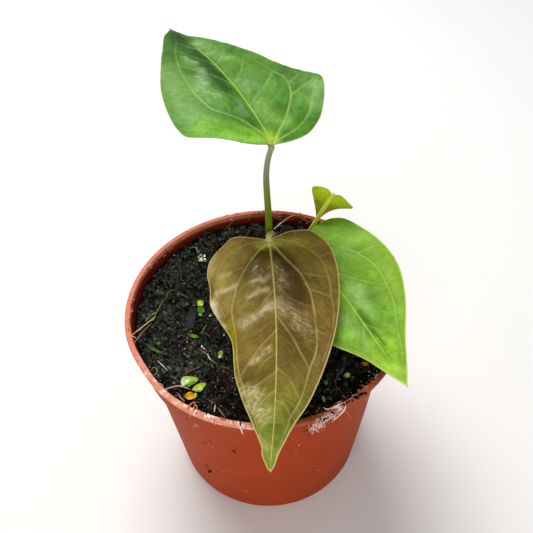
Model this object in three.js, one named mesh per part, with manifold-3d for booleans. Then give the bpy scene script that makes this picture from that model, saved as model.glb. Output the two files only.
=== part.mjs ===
// A young aroid house plant with four heart-shaped leaves, in a thin plastic nursery pot.
// Millimetres, +Z up. The origin is the middle of the pot's underside.
import * as THREE from 'three';
import { mergeVertices } from 'three/addons/utils/BufferGeometryUtils.js';
import Module from 'manifold-3d';

const wasm = await Module();
wasm.setup();

// Driving dimensions of the pot
const potHeight = 75;
const rimRadius = 45;
const baseRadius = 33.4;
const neckRadius = 40.3;
const neckDepth = 10.8;
const wallThickness = 1.1;
const floorThickness = 1.5;
const lipWidth = 1.8;
const lipHeight = 1.6;
const lipRounding = 0.5;
const lipInnerRounding = 0.3;
const potSides = 64;

// Underside: a flat middle and a flat foot ring, with a raised channel that holds the drain holes
const middleRadius = 12;
const channelInner = 13.5;
const channelOuter = 26;
const footInner = 27.5;
const footFillet = 1.4;
const channelRise = 1.6;
const drainHoles = 6;
const drainHoleRadius = 3;
const drainHoleSides = 16;
const drainCutLength = 6;
const drainCircleRadius = (channelInner + channelOuter) / 2;
const channelWallShift = 0.7;

// Soil, and the plain hole in it that the crown stands in
const pieceGap = 0.3;
const soilLevel = 71;
const soilTilt = 0.012;
const soilSides = 48;
const soilRings = 14;
const soilHoleSides = 24;
const soilWaves = [
  { height: 0.275, alongX: 0.61, alongY: 0.53, start: 0.9 },
  { height: 0.275, alongX: 0.61, alongY: -0.53, start: 1.7 },
  { height: 0.4, alongX: 0.97, alongY: -0.83, start: 0 },
  { height: 0.3, alongX: 1.31, alongY: 1.13, start: 3.57 },
];

// Crown: its outline as [share of its radius, height], and its thick roots
const crownCentre = [3.9, 13.8];
const crownRadius = 4.6;
const crownTop = 72.4;
const crownFoot = 50;
const crownSides = 20;
const crownHoleDepth = 38;
const crownOutline = [
  [0, crownFoot], [0.45, 51.5], [0.8, 60], [1, 68], [1, 71], [0.96, 72], [0.9, crownTop], [0, crownTop],
];
const rootCount = 5;
const rootRadius = 0.9;
const rootTipRadius = 0.5;
const rootSpread = 3.1;
const rootSpreadShares = [0.35, 0.9, 1, 0.8];
const rootTwist = 0.2;
const rootStart = 6;
const rootDrop = 6;
const rootSides = 6;

// Leaf blades
const bladeThickness = 0.7;
const midribDepth = 0.9;
const midribWidth = 1.2;
const midribFade = 0.8;
const halfWidthShare = 0.3;
const lobeShare = 0.2;
const midribSteps = 48;
const normalStep = 0.4;
const stalkSides = 9;
const stalkSteps = 14;
const stalkEndShare = 0.75;
const fineCross = [0, 0.06, 0.16, 0.36, 0.58, 0.8, 1];
const coarseCross = [0, 0.14, 0.45, 0.75, 1];

const degrees = THREE.MathUtils.degToRad;
const lerp = THREE.MathUtils.lerp;

// Each leaf is its own length, the place and direction where its blade starts, how the midrib
// climbs or falls at its base, middle and tip, how far the blade rolls about the midrib, and for
// each half the angle at which it leaves the midrib at the base and near the tip, the bend from
// midrib to margin, its width against the outline's, and the outline itself. The outline runs
// from the notch at the stalk round the lobe to the tip, in hundredths of the leaf's length,
// as [across, along]. Right and left are as seen from above with the tip ahead. The stalk rises
// from its foot on the crown through the listed points.
const leaves = [
  {
    name: 'front',
    colour: 0x7d6c34,
    length: 70.7,
    base: [2, 8.7, 95.9],
    heading: -84.6,
    turn: -14.5,
    slopes: [-11, -18, -31],
    roll: [0, -12],
    right: {
      width: 1.01,
      lift: [-4, -5.5],
      bend: -25,
      edge: [
        [8, -2.8], [15, -4.8], [19, -3.4], [26.9, 2.6], [29.7, 10], [29, 17], [29.1, 27], [25.3, 35.4],
        [19.8, 45.6], [18.2, 57], [17.2, 64], [12.9, 75.2], [7.7, 84.8], [4.5, 90.6], [3.9, 94], [1.9, 98],
      ],
    },
    left: {
      width: 0.92,
      lift: [-1, 1.5],
      bend: -8,
      edge: [
        [9.3, -3.6], [17.2, -4.2], [22, -2.8], [28, 4], [30.4, 13.2], [30, 26], [27, 42], [21.5, 58.4],
        [15, 72.4], [9.1, 81], [5.7, 87.6], [3.3, 92.5], [1.8, 97],
      ],
    },
    outlineSteps: 34,
    cross: fineCross,
    stalkRadii: [1.35, 0.95, 0.95, 1.15, 1.1],
    foot: [3.4, 10.9],
    stalk: [[3.6, 11.8, 84], [3.6, 12.3, 92.5], [3.3, 12.0, 95.9], [2.6, 10.8, 96.7]],
  },
  {
    name: 'upper',
    colour: 0x5d9a3a,
    length: 72.9,
    base: [3.7, 9.6, 131.8],
    heading: 115.5,
    turn: 2.6,
    slopes: [21, -3, -9],
    roll: [-11, -3],
    right: {
      width: 1.09,
      lift: [5, -20],
      bend: 8,
      edge: [
        [5.2, -0.6], [9.1, -0.8], [12.5, -0.3], [16, 1], [19.6, 3.5], [22.6, 6.3], [25.5, 10.3],
        [28.7, 15.6], [31.1, 20.8], [31.9, 24.4], [30.1, 28.4], [27.4, 32.9], [23.6, 39.1], [20.1, 49.5],
        [16.8, 61], [14.6, 71.8], [12, 80.1], [7.2, 84.4], [2.6, 86.2], [1, 90.5],
      ],
    },
    left: {
      width: 1.02,
      lift: [18.5, 4],
      bend: -40,
      edge: [
        [5.7, 0.6], [10.5, 1.7], [14.6, 3.6], [19.1, 5.9], [24.2, 8.4], [28.3, 10.6], [30.3, 12.2],
        [31.3, 14.9], [31.8, 19.6], [31.3, 25.9], [30, 33.3], [27.6, 41.9], [23.3, 52.4], [17.9, 64.9],
        [12.7, 77], [7.9, 87.1], [3.8, 93.7],
      ],
    },
    outlineSteps: 36,
    cross: fineCross,
    stalkRadii: [1.4, 1.1, 1.0, 0.9, 0.8, 0.8, 0.95],
    foot: [2.0, 14.9],
    stalk: [
      [2.2, 14.7, 86], [2.1, 13.8, 102], [1.8, 12.6, 113], [1.8, 11.6, 120],
      [2.4, 10.4, 126.4], [3.4, 9.0, 130.4],
    ],
  },
  {
    name: 'right',
    colour: 0x74b436,
    length: 61.5,
    base: [12, 17.1, 86],
    heading: -62,
    turn: -2.5,
    slopes: [7.5, -7, -3.5],
    roll: [-2, -9],
    right: {
      width: 1.01,
      lift: [5, 10],
      bend: -13,
      edge: [[7, 0.5], [15, 4], [23, 6], [28.5, 14], [30.5, 26], [28, 42.5], [21.5, 61.5], [10.5, 77.5], [3.5, 92]],
    },
    left: {
      width: 1.14,
      lift: [11.5, 14],
      bend: -9.5,
      edge: [[14.5, -4.5], [23.5, 0.5], [27.5, 13], [29.5, 26], [28.5, 42.5], [21.5, 61], [11.5, 78.5], [4, 93]],
    },
    outlineSteps: 26,
    cross: fineCross,
    stalkRadii: [1.25, 0.9, 0.85, 0.95, 1.05],
    foot: [5.9, 12.9],
    stalk: [[7.7, 15.8, 77.4], [9.8, 18.6, 82.2], [10.9, 19.5, 84.9], [11.4, 18.8, 85.8]],
  },
  {
    name: 'small',
    colour: 0x9bbf2c,
    length: 25,
    base: [23.2, 26, 98.3],
    heading: 107,
    turn: 5.5,
    slopes: [-65, -60, -74],
    roll: [-44.5, -7],
    right: {
      width: 0.99,
      lift: [0, 20],
      bend: 0.01,
      edge: [[10.5, -7], [22.5, 1], [31.5, 13], [31, 25], [25.5, 40.5], [18, 59], [10, 78], [3.5, 93]],
    },
    left: {
      width: 0.83,
      lift: [11, 28],
      bend: 0.01,
      edge: [[10.5, -3.5], [23, 2.5], [33.5, 13], [31, 24], [23, 39], [14.5, 57.5], [7, 77], [3, 93]],
    },
    outlineSteps: 16,
    cross: coarseCross,
    stalkRadii: [1.2, 0.85, 0.75, 0.65, 0.6],
    foot: [4.9, 16.6],
    stalk: [[8.6, 20.6, 75.8], [14.3, 23.5, 81.4], [19.8, 25.2, 91.9]],
    hangsFromStalk: true,
  },
];

// A small weed seedling that grows beside the rim: its place, and the direction, length and
// climb of each of its blades
const weedPlace = [-22, -26.5];
const weedHoleRadius = 1.3;
const weedStemRadius = 0.8;
const weedStemSides = 8;
const weedStemRise = 1.6;
const weedHoleDepth = 5;
const weedWidestShare = 0.45;
const weedBlades = [
  { heading: 168, length: 5.2, width: 2.1, climb: 24 },
  { heading: 12, length: 4.6, width: 1.8, climb: 12 },
  { heading: 78, length: 3.4, width: 1.5, climb: 40 },
];

const finishes = {
  pot: { color: 0x9c4227, roughness: 0.45 },
  soil: { color: 0x231d18, roughness: 0.95 },
  crown: { color: 0x7f8a3c, roughness: 0.6 },
  stalk: { color: 0x71803a, roughness: 0.5 },
  weed: { color: 0xa4cf3e, roughness: 0.5 },
};
const bladeRoughness = 0.35;

// Solids and meshes
function weld(geometry) {
  const bare = geometry.index ? geometry.toNonIndexed() : geometry.clone();
  bare.deleteAttribute('normal');
  bare.deleteAttribute('uv');
  const merged = mergeVertices(bare, 1e-4);
  const index = merged.index.array;
  const kept = [];
  for (let i = 0; i < index.length; i += 3) {
    const [a, b, c] = [index[i], index[i + 1], index[i + 2]];
    if (a !== b && b !== c && c !== a) kept.push(a, b, c);
  }
  merged.setIndex(kept);
  return merged;
}

function toManifold(geometry) {
  const welded = weld(geometry);
  return new wasm.Manifold(new wasm.Mesh({
    numProp: 3,
    vertProperties: new Float32Array(welded.attributes.position.array),
    triVerts: new Uint32Array(welded.index.array),
  }));
}

function fromManifold(solid) {
  const result = solid.getMesh();
  const geometry = new THREE.BufferGeometry();
  geometry.setAttribute('position', new THREE.BufferAttribute(result.vertProperties, 3));
  geometry.setIndex(new THREE.BufferAttribute(result.triVerts, 1));
  return geometry;
}

function namedMesh(name, geometry, finish) {
  const finished = geometry.clone();
  finished.computeVertexNormals();
  const material = new THREE.MeshStandardMaterial({ ...finish, metalness: 0 });
  const mesh = new THREE.Mesh(finished, material);
  mesh.name = name;
  return mesh;
}

function trianglesToGeometry(triangles) {
  const geometry = new THREE.BufferGeometry();
  const values = new Float32Array(triangles.length * 3);
  triangles.forEach((point, i) => point.toArray(values, i * 3));
  geometry.setAttribute('position', new THREE.BufferAttribute(values, 3));
  return weld(geometry);
}

// A profile of [radius, height] pairs, listed from the underside outwards and up, turned about +Z
function turned(profile, sides) {
  const points = profile.map(([radius, height]) => new THREE.Vector2(radius, height));
  return new THREE.LatheGeometry(points, sides).rotateX(Math.PI / 2);
}

// Rings of points joined one to the next, with a flat or pointed cap at each end
function lofted(rings) {
  const triangles = [];
  const count = rings[0].length;
  const middle = (ring) => ring.reduce((sum, p) => sum.add(p), new THREE.Vector3()).divideScalar(count);
  const first = middle(rings[0]);
  const last = middle(rings[rings.length - 1]);
  for (let k = 0; k < count; k += 1) {
    const next = (k + 1) % count;
    triangles.push(first, rings[0][next], rings[0][k]);
    for (let i = 0; i + 1 < rings.length; i += 1) {
      triangles.push(rings[i][k], rings[i][next], rings[i + 1][next]);
      triangles.push(rings[i][k], rings[i + 1][next], rings[i + 1][k]);
    }
    triangles.push(last, rings[rings.length - 1][k], rings[rings.length - 1][next]);
  }
  return trianglesToGeometry(triangles);
}

// A round stalk along a smooth curve, its radius eased between the listed values. A level foot
// lies flat on what the stalk grows from, however much the stalk leans.
function stalkGeometry(points, radii, steps, sides, levelFoot = false) {
  const curve = new THREE.CatmullRomCurve3(points);
  const frames = curve.computeFrenetFrames(steps);
  const rings = [];
  for (let i = 0; i <= steps; i += 1) {
    const centre = curve.getPointAt(i / steps);
    const place = (i / steps) * (radii.length - 1);
    const low = Math.min(Math.floor(place), radii.length - 2);
    const radius = lerp(radii[low], radii[low + 1], place - low);
    const ring = [];
    for (let k = 0; k < sides; k += 1) {
      const angle = (k / sides) * 2 * Math.PI;
      ring.push(centre.clone()
        .addScaledVector(frames.normals[i], radius * Math.cos(angle))
        .addScaledVector(frames.binormals[i], radius * Math.sin(angle)));
    }
    if (levelFoot && i === 0) ring.forEach((point) => point.setZ(centre.z));
    rings.push(ring);
  }
  return lofted(rings);
}

// Pot
const neckHeight = potHeight - neckDepth;
const channelFloor = channelRise + floorThickness;

function potWallRadius(height) {
  if (height > neckHeight) {
    const rise = (height - neckHeight) / (potHeight - lipHeight - neckHeight);
    return lerp(neckRadius, rimRadius - lipWidth / 2, Math.min(rise, 1));
  }
  return lerp(baseRadius, neckRadius, height / neckHeight);
}

function makePot() {
  const underLip = potHeight - lipHeight;
  const inside = (height) => potWallRadius(height) - wallThickness;
  const profile = [
    [0, 0],
    [middleRadius, 0],
    [channelInner, channelRise],
    [channelOuter, channelRise],
    [footInner, 0],
    [baseRadius - footFillet, 0],
    [baseRadius - footFillet / 3, footFillet / 3],
    [potWallRadius(footFillet), footFillet],
    [neckRadius, neckHeight],
    [potWallRadius(underLip), underLip],
    [rimRadius, underLip + lipRounding],
    [rimRadius, potHeight - lipRounding],
    [rimRadius - lipRounding, potHeight],
    [rimRadius - lipWidth + lipInnerRounding, potHeight],
    [inside(underLip), underLip],
    [inside(neckHeight), neckHeight],
    [inside(floorThickness), floorThickness],
    [footInner + channelWallShift, floorThickness],
    [channelOuter + channelWallShift, channelFloor],
    [channelInner - channelWallShift, channelFloor],
    [middleRadius - channelWallShift, floorThickness],
    [0, floorThickness],
  ];
  let pot = toManifold(turned(profile, potSides));
  for (let i = 0; i < drainHoles; i += 1) {
    const angle = (i / drainHoles) * 2 * Math.PI;
    const hole = new THREE.CylinderGeometry(drainHoleRadius, drainHoleRadius, drainCutLength, drainHoleSides);
    hole.rotateX(Math.PI / 2);
    hole.translate(drainCircleRadius * Math.cos(angle), drainCircleRadius * Math.sin(angle), channelFloor);
    pot = pot.subtract(toManifold(hole));
  }
  return fromManifold(pot);
}

// Soil: crumbly top made of overlapping waves that die away at the crown
function soilHeight(x, y) {
  const lumps = soilWaves.reduce((sum, wave) => (
    sum + wave.height * Math.sin(wave.alongX * x + wave.alongY * y + wave.start)
  ), 0);
  const fromCrown = Math.hypot(x - crownCentre[0], y - crownCentre[1]);
  const calm = Math.min(1, Math.max(0, (fromCrown - crownRadius) / crownRadius));
  return soilLevel + soilTilt * y + lumps * calm;
}

function makeSoil() {
  const bottom = channelFloor + pieceGap;
  const clear = wallThickness + pieceGap;
  const ringOf = (radius, heightAt) => Array.from({ length: soilSides }, (_, k) => {
    const angle = (k / soilSides) * 2 * Math.PI;
    const [x, y] = [radius * Math.cos(angle), radius * Math.sin(angle)];
    return new THREE.Vector3(x, y, heightAt(x, y));
  });
  const facet = 1 / Math.cos(Math.PI / potSides);
  const wallRing = (height) => ringOf((potWallRadius(height) - clear) / facet, () => height);
  const rings = [wallRing(bottom), wallRing(neckHeight)];
  const lowestEdge = soilLevel - soilWaves.reduce((sum, wave) => sum + wave.height, 0) - soilTilt * rimRadius;
  const edgeRadius = (potWallRadius(lowestEdge) - clear) / facet;
  for (let i = 0; i < soilRings; i += 1) {
    rings.push(ringOf(edgeRadius * (1 - i / soilRings), soilHeight));
  }
  let soil = toManifold(lofted(rings));
  const holes = [
    [crownCentre, crownRadius + pieceGap, crownHoleDepth],
    [weedPlace, weedHoleRadius, weedHoleDepth],
  ];
  holes.forEach(([[x, y], radius, depth]) => {
    const hole = new THREE.CylinderGeometry(radius, radius, 2 * depth, soilHoleSides).rotateX(Math.PI / 2);
    soil = soil.subtract(toManifold(hole.translate(x, y, soilLevel)));
  });
  return fromManifold(soil);
}

// Crown: the short stem that every stalk grows from, with its thick roots below
function makeCrown() {
  const profile = crownOutline.map(([share, height]) => [share * crownRadius, height]);
  let crown = toManifold(turned(profile, crownSides).translate(...crownCentre, 0));
  for (let i = 0; i < rootCount; i += 1) {
    const angle = ((i + 0.3) / rootCount) * 2 * Math.PI;
    const points = rootSpreadShares.map((share, step) => new THREE.Vector3(
      crownCentre[0] + rootSpread * share * Math.cos(angle + rootTwist * step),
      crownCentre[1] + rootSpread * share * Math.sin(angle + rootTwist * step),
      crownFoot + rootStart - step * (rootDrop + (i % 2)),
    ));
    const root = stalkGeometry(points, [rootRadius, rootRadius, rootTipRadius], rootSides, rootSides);
    crown = crown.add(toManifold(root));
  }
  return fromManifold(crown);
}

// Leaf blades
function leafCurve(values, share) {
  const [start, middle, end] = values;
  return start * (1 - share) * (1 - 2 * share) + 4 * middle * share * (1 - share) + end * share * (2 * share - 1);
}

// Points, sides and up directions along a leaf's midrib
function midribFrames(leaf) {
  const frames = [];
  const point = new THREE.Vector3(...leaf.base);
  for (let i = 0; i <= midribSteps; i += 1) {
    const share = i / midribSteps;
    const slope = degrees(leafCurve(leaf.slopes, share));
    const heading = degrees(leaf.heading + leaf.turn * share);
    const ahead = new THREE.Vector3(
      Math.cos(heading) * Math.cos(slope),
      Math.sin(heading) * Math.cos(slope),
      Math.sin(slope),
    );
    const side = new THREE.Vector3(Math.sin(heading), -Math.cos(heading), 0);
    side.applyAxisAngle(ahead, -degrees(lerp(...leaf.roll, share)));
    const up = side.clone().cross(ahead);
    frames.push({ point: point.clone(), ahead, side, up });
    point.addScaledVector(ahead, leaf.length / midribSteps);
  }
  return frames;
}

function frameAt(frames, share) {
  const place = THREE.MathUtils.clamp(share, 0, 1) * midribSteps;
  const low = Math.min(Math.floor(place), midribSteps - 1);
  const [a, b] = [frames[low], frames[low + 1]];
  const blend = (key) => a[key].clone().lerp(b[key], place - low);
  return { point: blend('point'), ahead: blend('ahead'), side: blend('side'), up: blend('up') };
}

// The blade's middle surface: each half leaves the midrib at its lift angle and bends on evenly
function bladePoint(leaf, frames, across, along) {
  const share = along / leaf.length;
  const { point, ahead, side, up } = frameAt(frames, share);
  if (share < 0) point.addScaledVector(ahead, along);
  const half = across < 0 ? leaf.left : leaf.right;
  const reach = Math.abs(across);
  const lift = degrees(lerp(...half.lift, THREE.MathUtils.clamp(share, 0, 1) ** 2));
  const bend = degrees(half.bend) / (halfWidthShare * leaf.length);
  const out = (Math.sin(lift + bend * reach) - Math.sin(lift)) / bend;
  const rise = (Math.cos(lift) - Math.cos(lift + bend * reach)) / bend;
  return point.addScaledVector(side, Math.sign(across) * out).addScaledVector(up, rise);
}

function bladeNormal(leaf, frames, across, along) {
  if (Math.abs(across) < normalStep) return frameAt(frames, along / leaf.length).up;
  const at = (x, y) => bladePoint(leaf, frames, across + x * normalStep, along + y * normalStep);
  const away = at(1, 0).sub(at(-1, 0));
  const ahead = at(0, 1).sub(at(0, -1));
  return away.cross(ahead).normalize();
}

// The half outline as a smooth curve, from the notch at the stalk to the tip
function halfOutline(leaf, half, steps) {
  const points = [[0, 0], ...half.edge, [0, 100]].map(([x, y]) => new THREE.Vector3(
    (x / 100) * leaf.length * half.width,
    (y / 100) * leaf.length,
    0,
  ));
  return new THREE.CatmullRomCurve3(points, false, 'catmullrom', 0.5).getPoints(steps);
}

function makeBlade(leaf) {
  const frames = midribFrames(leaf);
  const triangles = [];
  const { outlineSteps, cross: crossShares } = leaf;
  [[leaf.right, 1], [leaf.left, -1]].forEach(([half, sign]) => {
    const outline = halfOutline(leaf, half, outlineSteps);
    const rows = outline.map((edge, i) => {
      const share = Math.max(0, (i / outlineSteps - lobeShare) / (1 - lobeShare));
      const start = share * leaf.length;
      return crossShares.map((cross) => {
        const across = sign * edge.x * cross;
        const along = lerp(start, edge.y, cross);
        const middle = bladePoint(leaf, frames, across, along);
        const normal = bladeNormal(leaf, frames, across, along);
        const fade = 1 - midribFade * (along / leaf.length);
        const ridge = midribDepth * fade * Math.exp(-((across / midribWidth) ** 2));
        return {
          upper: middle.clone().addScaledVector(normal, bladeThickness / 2),
          lower: middle.clone().addScaledVector(normal, -bladeThickness / 2 - ridge),
        };
      });
    });
    const face = (a, b, c, flip) => triangles.push(...(flip ? [a, c, b] : [a, b, c]));
    const lastCross = crossShares.length - 1;
    for (let i = 0; i < outlineSteps; i += 1) {
      for (let j = 0; j < lastCross; j += 1) {
        const [a, b, c, d] = [rows[i][j], rows[i][j + 1], rows[i + 1][j + 1], rows[i + 1][j]];
        face(a.upper, b.upper, c.upper, sign < 0);
        face(a.upper, c.upper, d.upper, sign < 0);
        face(a.lower, b.lower, c.lower, sign > 0);
        face(a.lower, c.lower, d.lower, sign > 0);
      }
      const [rim, next] = [rows[i][lastCross], rows[i + 1][lastCross]];
      face(rim.upper, rim.lower, next.lower, sign < 0);
      face(rim.upper, next.lower, next.upper, sign < 0);
    }
  });
  return trianglesToGeometry(triangles);
}

// A stalk runs from the crown's top to just short of its blade's notch. The blade that hangs
// from its stalk is met from below instead.
function makeStalk(leaf) {
  const foot = [...leaf.foot, crownTop + pieceGap];
  const points = [foot, ...leaf.stalk].map((point) => new THREE.Vector3(...point));
  const frame = midribFrames(leaf)[0];
  const endRadius = leaf.stalkRadii[leaf.stalkRadii.length - 1];
  const end = new THREE.Vector3(...leaf.base);
  if (leaf.hangsFromStalk) {
    end.addScaledVector(frame.up, -(bladeThickness / 2 + midribDepth + pieceGap + endRadius));
  } else {
    end.addScaledVector(frame.ahead, -(pieceGap + endRadius * stalkEndShare));
  }
  points.push(end);
  return stalkGeometry(points, leaf.stalkRadii, stalkSteps, stalkSides, true);
}

// Weed seedling: a short stem with three small pointed blades
function makeWeed() {
  const [x, y] = weedPlace;
  const stemTop = soilLevel + weedStemRise;
  const stem = new THREE.CylinderGeometry(weedStemRadius, weedStemRadius, weedHoleDepth, weedStemSides);
  stem.rotateX(Math.PI / 2).translate(x, y, stemTop - weedHoleDepth / 2);
  let weed = toManifold(stem);
  weedBlades.forEach(({ heading, length, width, climb }) => {
    const outline = new THREE.Shape();
    const widest = length * weedWidestShare;
    outline.moveTo(-weedStemRadius / 2, -weedStemRadius / 2);
    outline.quadraticCurveTo(widest, -width, length, 0);
    outline.quadraticCurveTo(widest, width, -weedStemRadius / 2, weedStemRadius / 2);
    const settings = { depth: bladeThickness, bevelEnabled: false, curveSegments: 5 };
    const blade = new THREE.ExtrudeGeometry(outline, settings);
    blade.rotateY(-degrees(climb)).rotateZ(degrees(heading)).translate(x, y, stemTop - bladeThickness);
    weed = weed.add(toManifold(blade));
  });
  return fromManifold(weed);
}

// Assembly
const plant = new THREE.Group();
plant.add(namedMesh('pot', makePot(), finishes.pot));
plant.add(namedMesh('soil', makeSoil(), finishes.soil));
plant.add(namedMesh('crown', makeCrown(), finishes.crown));
plant.add(namedMesh('weed_seedling', makeWeed(), finishes.weed));
leaves.forEach((leaf) => {
  const finish = { color: leaf.colour, roughness: bladeRoughness };
  plant.add(namedMesh(`petiole_${leaf.name}`, makeStalk(leaf), finishes.stalk));
  plant.add(namedMesh(`leaf_${leaf.name}`, makeBlade(leaf), finish));
});

export default plant;
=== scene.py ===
# A young aroid house plant in a terracotta-coloured nursery pot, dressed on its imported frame.
import bpy
import bmesh
import numpy as np
from mathutils import Matrix, Vector


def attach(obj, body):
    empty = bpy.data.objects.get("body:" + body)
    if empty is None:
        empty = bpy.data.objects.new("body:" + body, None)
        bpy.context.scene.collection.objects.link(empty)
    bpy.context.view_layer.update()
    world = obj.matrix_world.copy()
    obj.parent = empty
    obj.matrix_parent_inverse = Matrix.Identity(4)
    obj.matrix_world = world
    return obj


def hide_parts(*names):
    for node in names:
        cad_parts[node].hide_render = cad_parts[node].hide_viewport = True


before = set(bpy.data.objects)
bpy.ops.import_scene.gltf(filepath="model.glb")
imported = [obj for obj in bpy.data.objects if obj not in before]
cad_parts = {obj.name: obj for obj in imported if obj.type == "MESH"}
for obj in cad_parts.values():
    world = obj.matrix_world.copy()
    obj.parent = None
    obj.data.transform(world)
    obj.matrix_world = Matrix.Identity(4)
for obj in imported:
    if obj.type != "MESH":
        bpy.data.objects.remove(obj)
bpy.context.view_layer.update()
mm = 0.001  # every shape below is worked out in millimetres
print("frame loaded")

# Camera, fitted to the outline of the pot in the photograph
photoView = {
    "place": (1.01, -153.3, 258.09),  # mm
    "elevation": 47.1,  # degrees down
    "roll": -1.85,  # degrees
    "lens": 50.0,  # mm
    "sensor": 36.0,  # mm
    "frame": 533,  # pixels
}


def viewAxes():
    # right, up and ahead of the camera: a level camera tilted down, then rolled about its own line of sight
    tilt = np.radians(photoView["elevation"])
    roll = np.radians(photoView["roll"])
    ahead = np.array([0.0, np.cos(tilt), -np.sin(tilt)])
    level = np.array([1.0, 0.0, 0.0])
    rise = np.cross(level, ahead)
    right = np.cos(roll) * level + np.sin(roll) * rise
    up = -np.sin(roll) * level + np.cos(roll) * rise
    return right, up, ahead


def makeCamera():
    right, up, ahead = viewAxes()
    data = bpy.data.cameras.new("photoCamera")
    data.lens = photoView["lens"]
    data.sensor_width = photoView["sensor"]
    data.clip_start = 0.01
    camera = bpy.data.objects.new("photoCamera", data)
    bpy.context.scene.collection.objects.link(camera)
    turn = Matrix((right, up, -ahead)).transposed().to_4x4()
    camera.matrix_world = Matrix.Translation(Vector(photoView["place"]) * mm) @ turn
    bpy.context.scene.camera = camera


makeCamera()


def pixelRays(pixels):
    # directions from the camera through pixels of the photograph
    right, up, ahead = viewAxes()
    focal = photoView["lens"] / photoView["sensor"] * photoView["frame"]
    offset = (np.asarray(pixels, float) - photoView["frame"] / 2) / focal
    return ahead + offset[:, :1] * right - offset[:, 1:] * up


# Colours and nodes
def linear(hexText):
    # sRGB hex to linear: the straight part below 0.04045, a power of 2.4 above
    value = np.array([int(hexText[i:i + 2], 16) for i in (1, 3, 5)]) / 255
    return np.append(np.where(value <= 0.04045, value / 12.92, ((value + 0.055) / 1.055) ** 2.4), 1.0)


def addNode(tree, kind, settings=None, links=None, stops=None):
    # adds a shader node: settings are attributes or input values, and stops are a ramp's colours. Links come from
    # sockets, or from nodes, which stand for their first output in use.
    node = tree.nodes.new(f"ShaderNode{kind}")
    for key, value in (settings or {}).items():
        if isinstance(key, str) and hasattr(node, key):
            setattr(node, key, value)
        else:
            node.inputs[key].default_value = value
    for key, source in (links or {}).items():
        if isinstance(source, bpy.types.Node):
            source = next(output for output in source.outputs if output.enabled)
        tree.links.new(source, node.inputs[key])
    if stops:
        ramp = node.color_ramp
        while len(ramp.elements) < len(stops):
            ramp.elements.new(0.5)
        for element, (position, colour) in zip(ramp.elements, stops):
            element.position = position
            element.color = colour
    return node


def newMaterial(name):
    material = bpy.data.materials.new(name)
    material.use_nodes = True
    material.node_tree.nodes.clear()
    return material, material.node_tree


def finishMaterial(tree, settings, links):
    shader = addNode(tree, "BsdfPrincipled", settings, links)
    addNode(tree, "OutputMaterial", {}, {"Surface": shader})


# Shapes
seams = {"reach": 0.002, "shortest": 0.0001}  # mm: points this close are merged, and shorter edges go


def unitVectors(vectors):
    return vectors / (np.linalg.norm(vectors, axis=-1, keepdims=True) + 1e-12)


def ringFaces(count, sides, flip=False):
    # quads along a stack of rings of points, and triangles from its first and last ring to the two points listed
    # after them. Flip turns the faces over, for rings that run the other way round.
    row = np.arange(count - 1)[:, None] * sides
    now = np.arange(sides)
    after = (now + 1) % sides
    quads = np.stack([row + now, row + sides + now, row + sides + after, row + after], -1).reshape(-1, 4)
    last, first = (count - 1) * sides, np.full(sides, count * sides)
    caps = np.vstack([np.stack([first, now, after], -1), np.stack([first + 1, last + after, last + now], -1)])
    return (quads[:, [0, 3, 2, 1]], caps[:, [0, 2, 1]]) if flip else (quads, caps)


def newPiece(name, points, faceSets, material, attributes=None):
    # a mesh piece from whole arrays of points in mm and of faces, riding on the plant's only body
    mesh = bpy.data.meshes.new(name)
    sizes = np.concatenate([np.full(len(faces), faces.shape[1]) for faces in faceSets])
    corners = np.concatenate([faces.ravel() for faces in faceSets])
    mesh.vertices.add(len(points))
    mesh.vertices.foreach_set("co", (np.asarray(points) * mm).astype(np.float32).ravel())
    mesh.loops.add(len(corners))
    mesh.loops.foreach_set("vertex_index", corners.astype(np.int32))
    mesh.polygons.add(len(sizes))
    mesh.polygons.foreach_set("loop_start", np.concatenate([[0], np.cumsum(sizes)[:-1]]).astype(np.int32))
    for key, values in (attributes or {}).items():
        kind, field = {1: ("FLOAT", "value"), 3: ("FLOAT_VECTOR", "vector"), 4: ("FLOAT_COLOR", "color")}[
            1 if values.ndim == 1 else values.shape[1]]
        layer = mesh.attributes.new(key, kind, "POINT")
        layer.data.foreach_set(field, values.astype(np.float32).ravel())
    mesh.update(calc_edges=True)
    mesh.validate()
    mesh.shade_smooth()
    mesh.materials.append(material)
    piece = bpy.data.objects.new(name, mesh)
    bpy.context.scene.collection.objects.link(piece)
    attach(piece, "root")
    return piece


def mergeSeams(piece):
    # points that lie on each other become one
    shell = bmesh.new()
    shell.from_mesh(piece.data)
    bmesh.ops.remove_doubles(shell, verts=shell.verts, dist=seams["reach"] * mm)
    bmesh.ops.dissolve_degenerate(shell, edges=shell.edges, dist=seams["shortest"] * mm)
    shell.to_mesh(piece.data)
    shell.free()


def smoothPath(points, steps):
    # Catmull-Rom curve: a cubic through each pair of points whose slopes follow the points beside them
    points = np.asarray(points, float)
    known = np.vstack([2 * points[0] - points[1], points, 2 * points[-1] - points[-2]])
    place = np.linspace(0, len(points) - 1, steps + 1)
    low = np.minimum(place.astype(int), len(points) - 2)
    t = (place - low)[:, None]
    a, b, c, d = (known[low + i] for i in range(4))
    return 0.5 * (2 * b + (c - a) * t + (2 * a - 5 * b + 4 * c - d) * t**2 + (3 * b - a - 3 * c + d) * t**3)


def eased(values, count):
    # listed values spread evenly over a count of steps and eased between them
    return np.interp(np.linspace(0, len(values) - 1, count), np.arange(len(values)), values)


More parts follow.
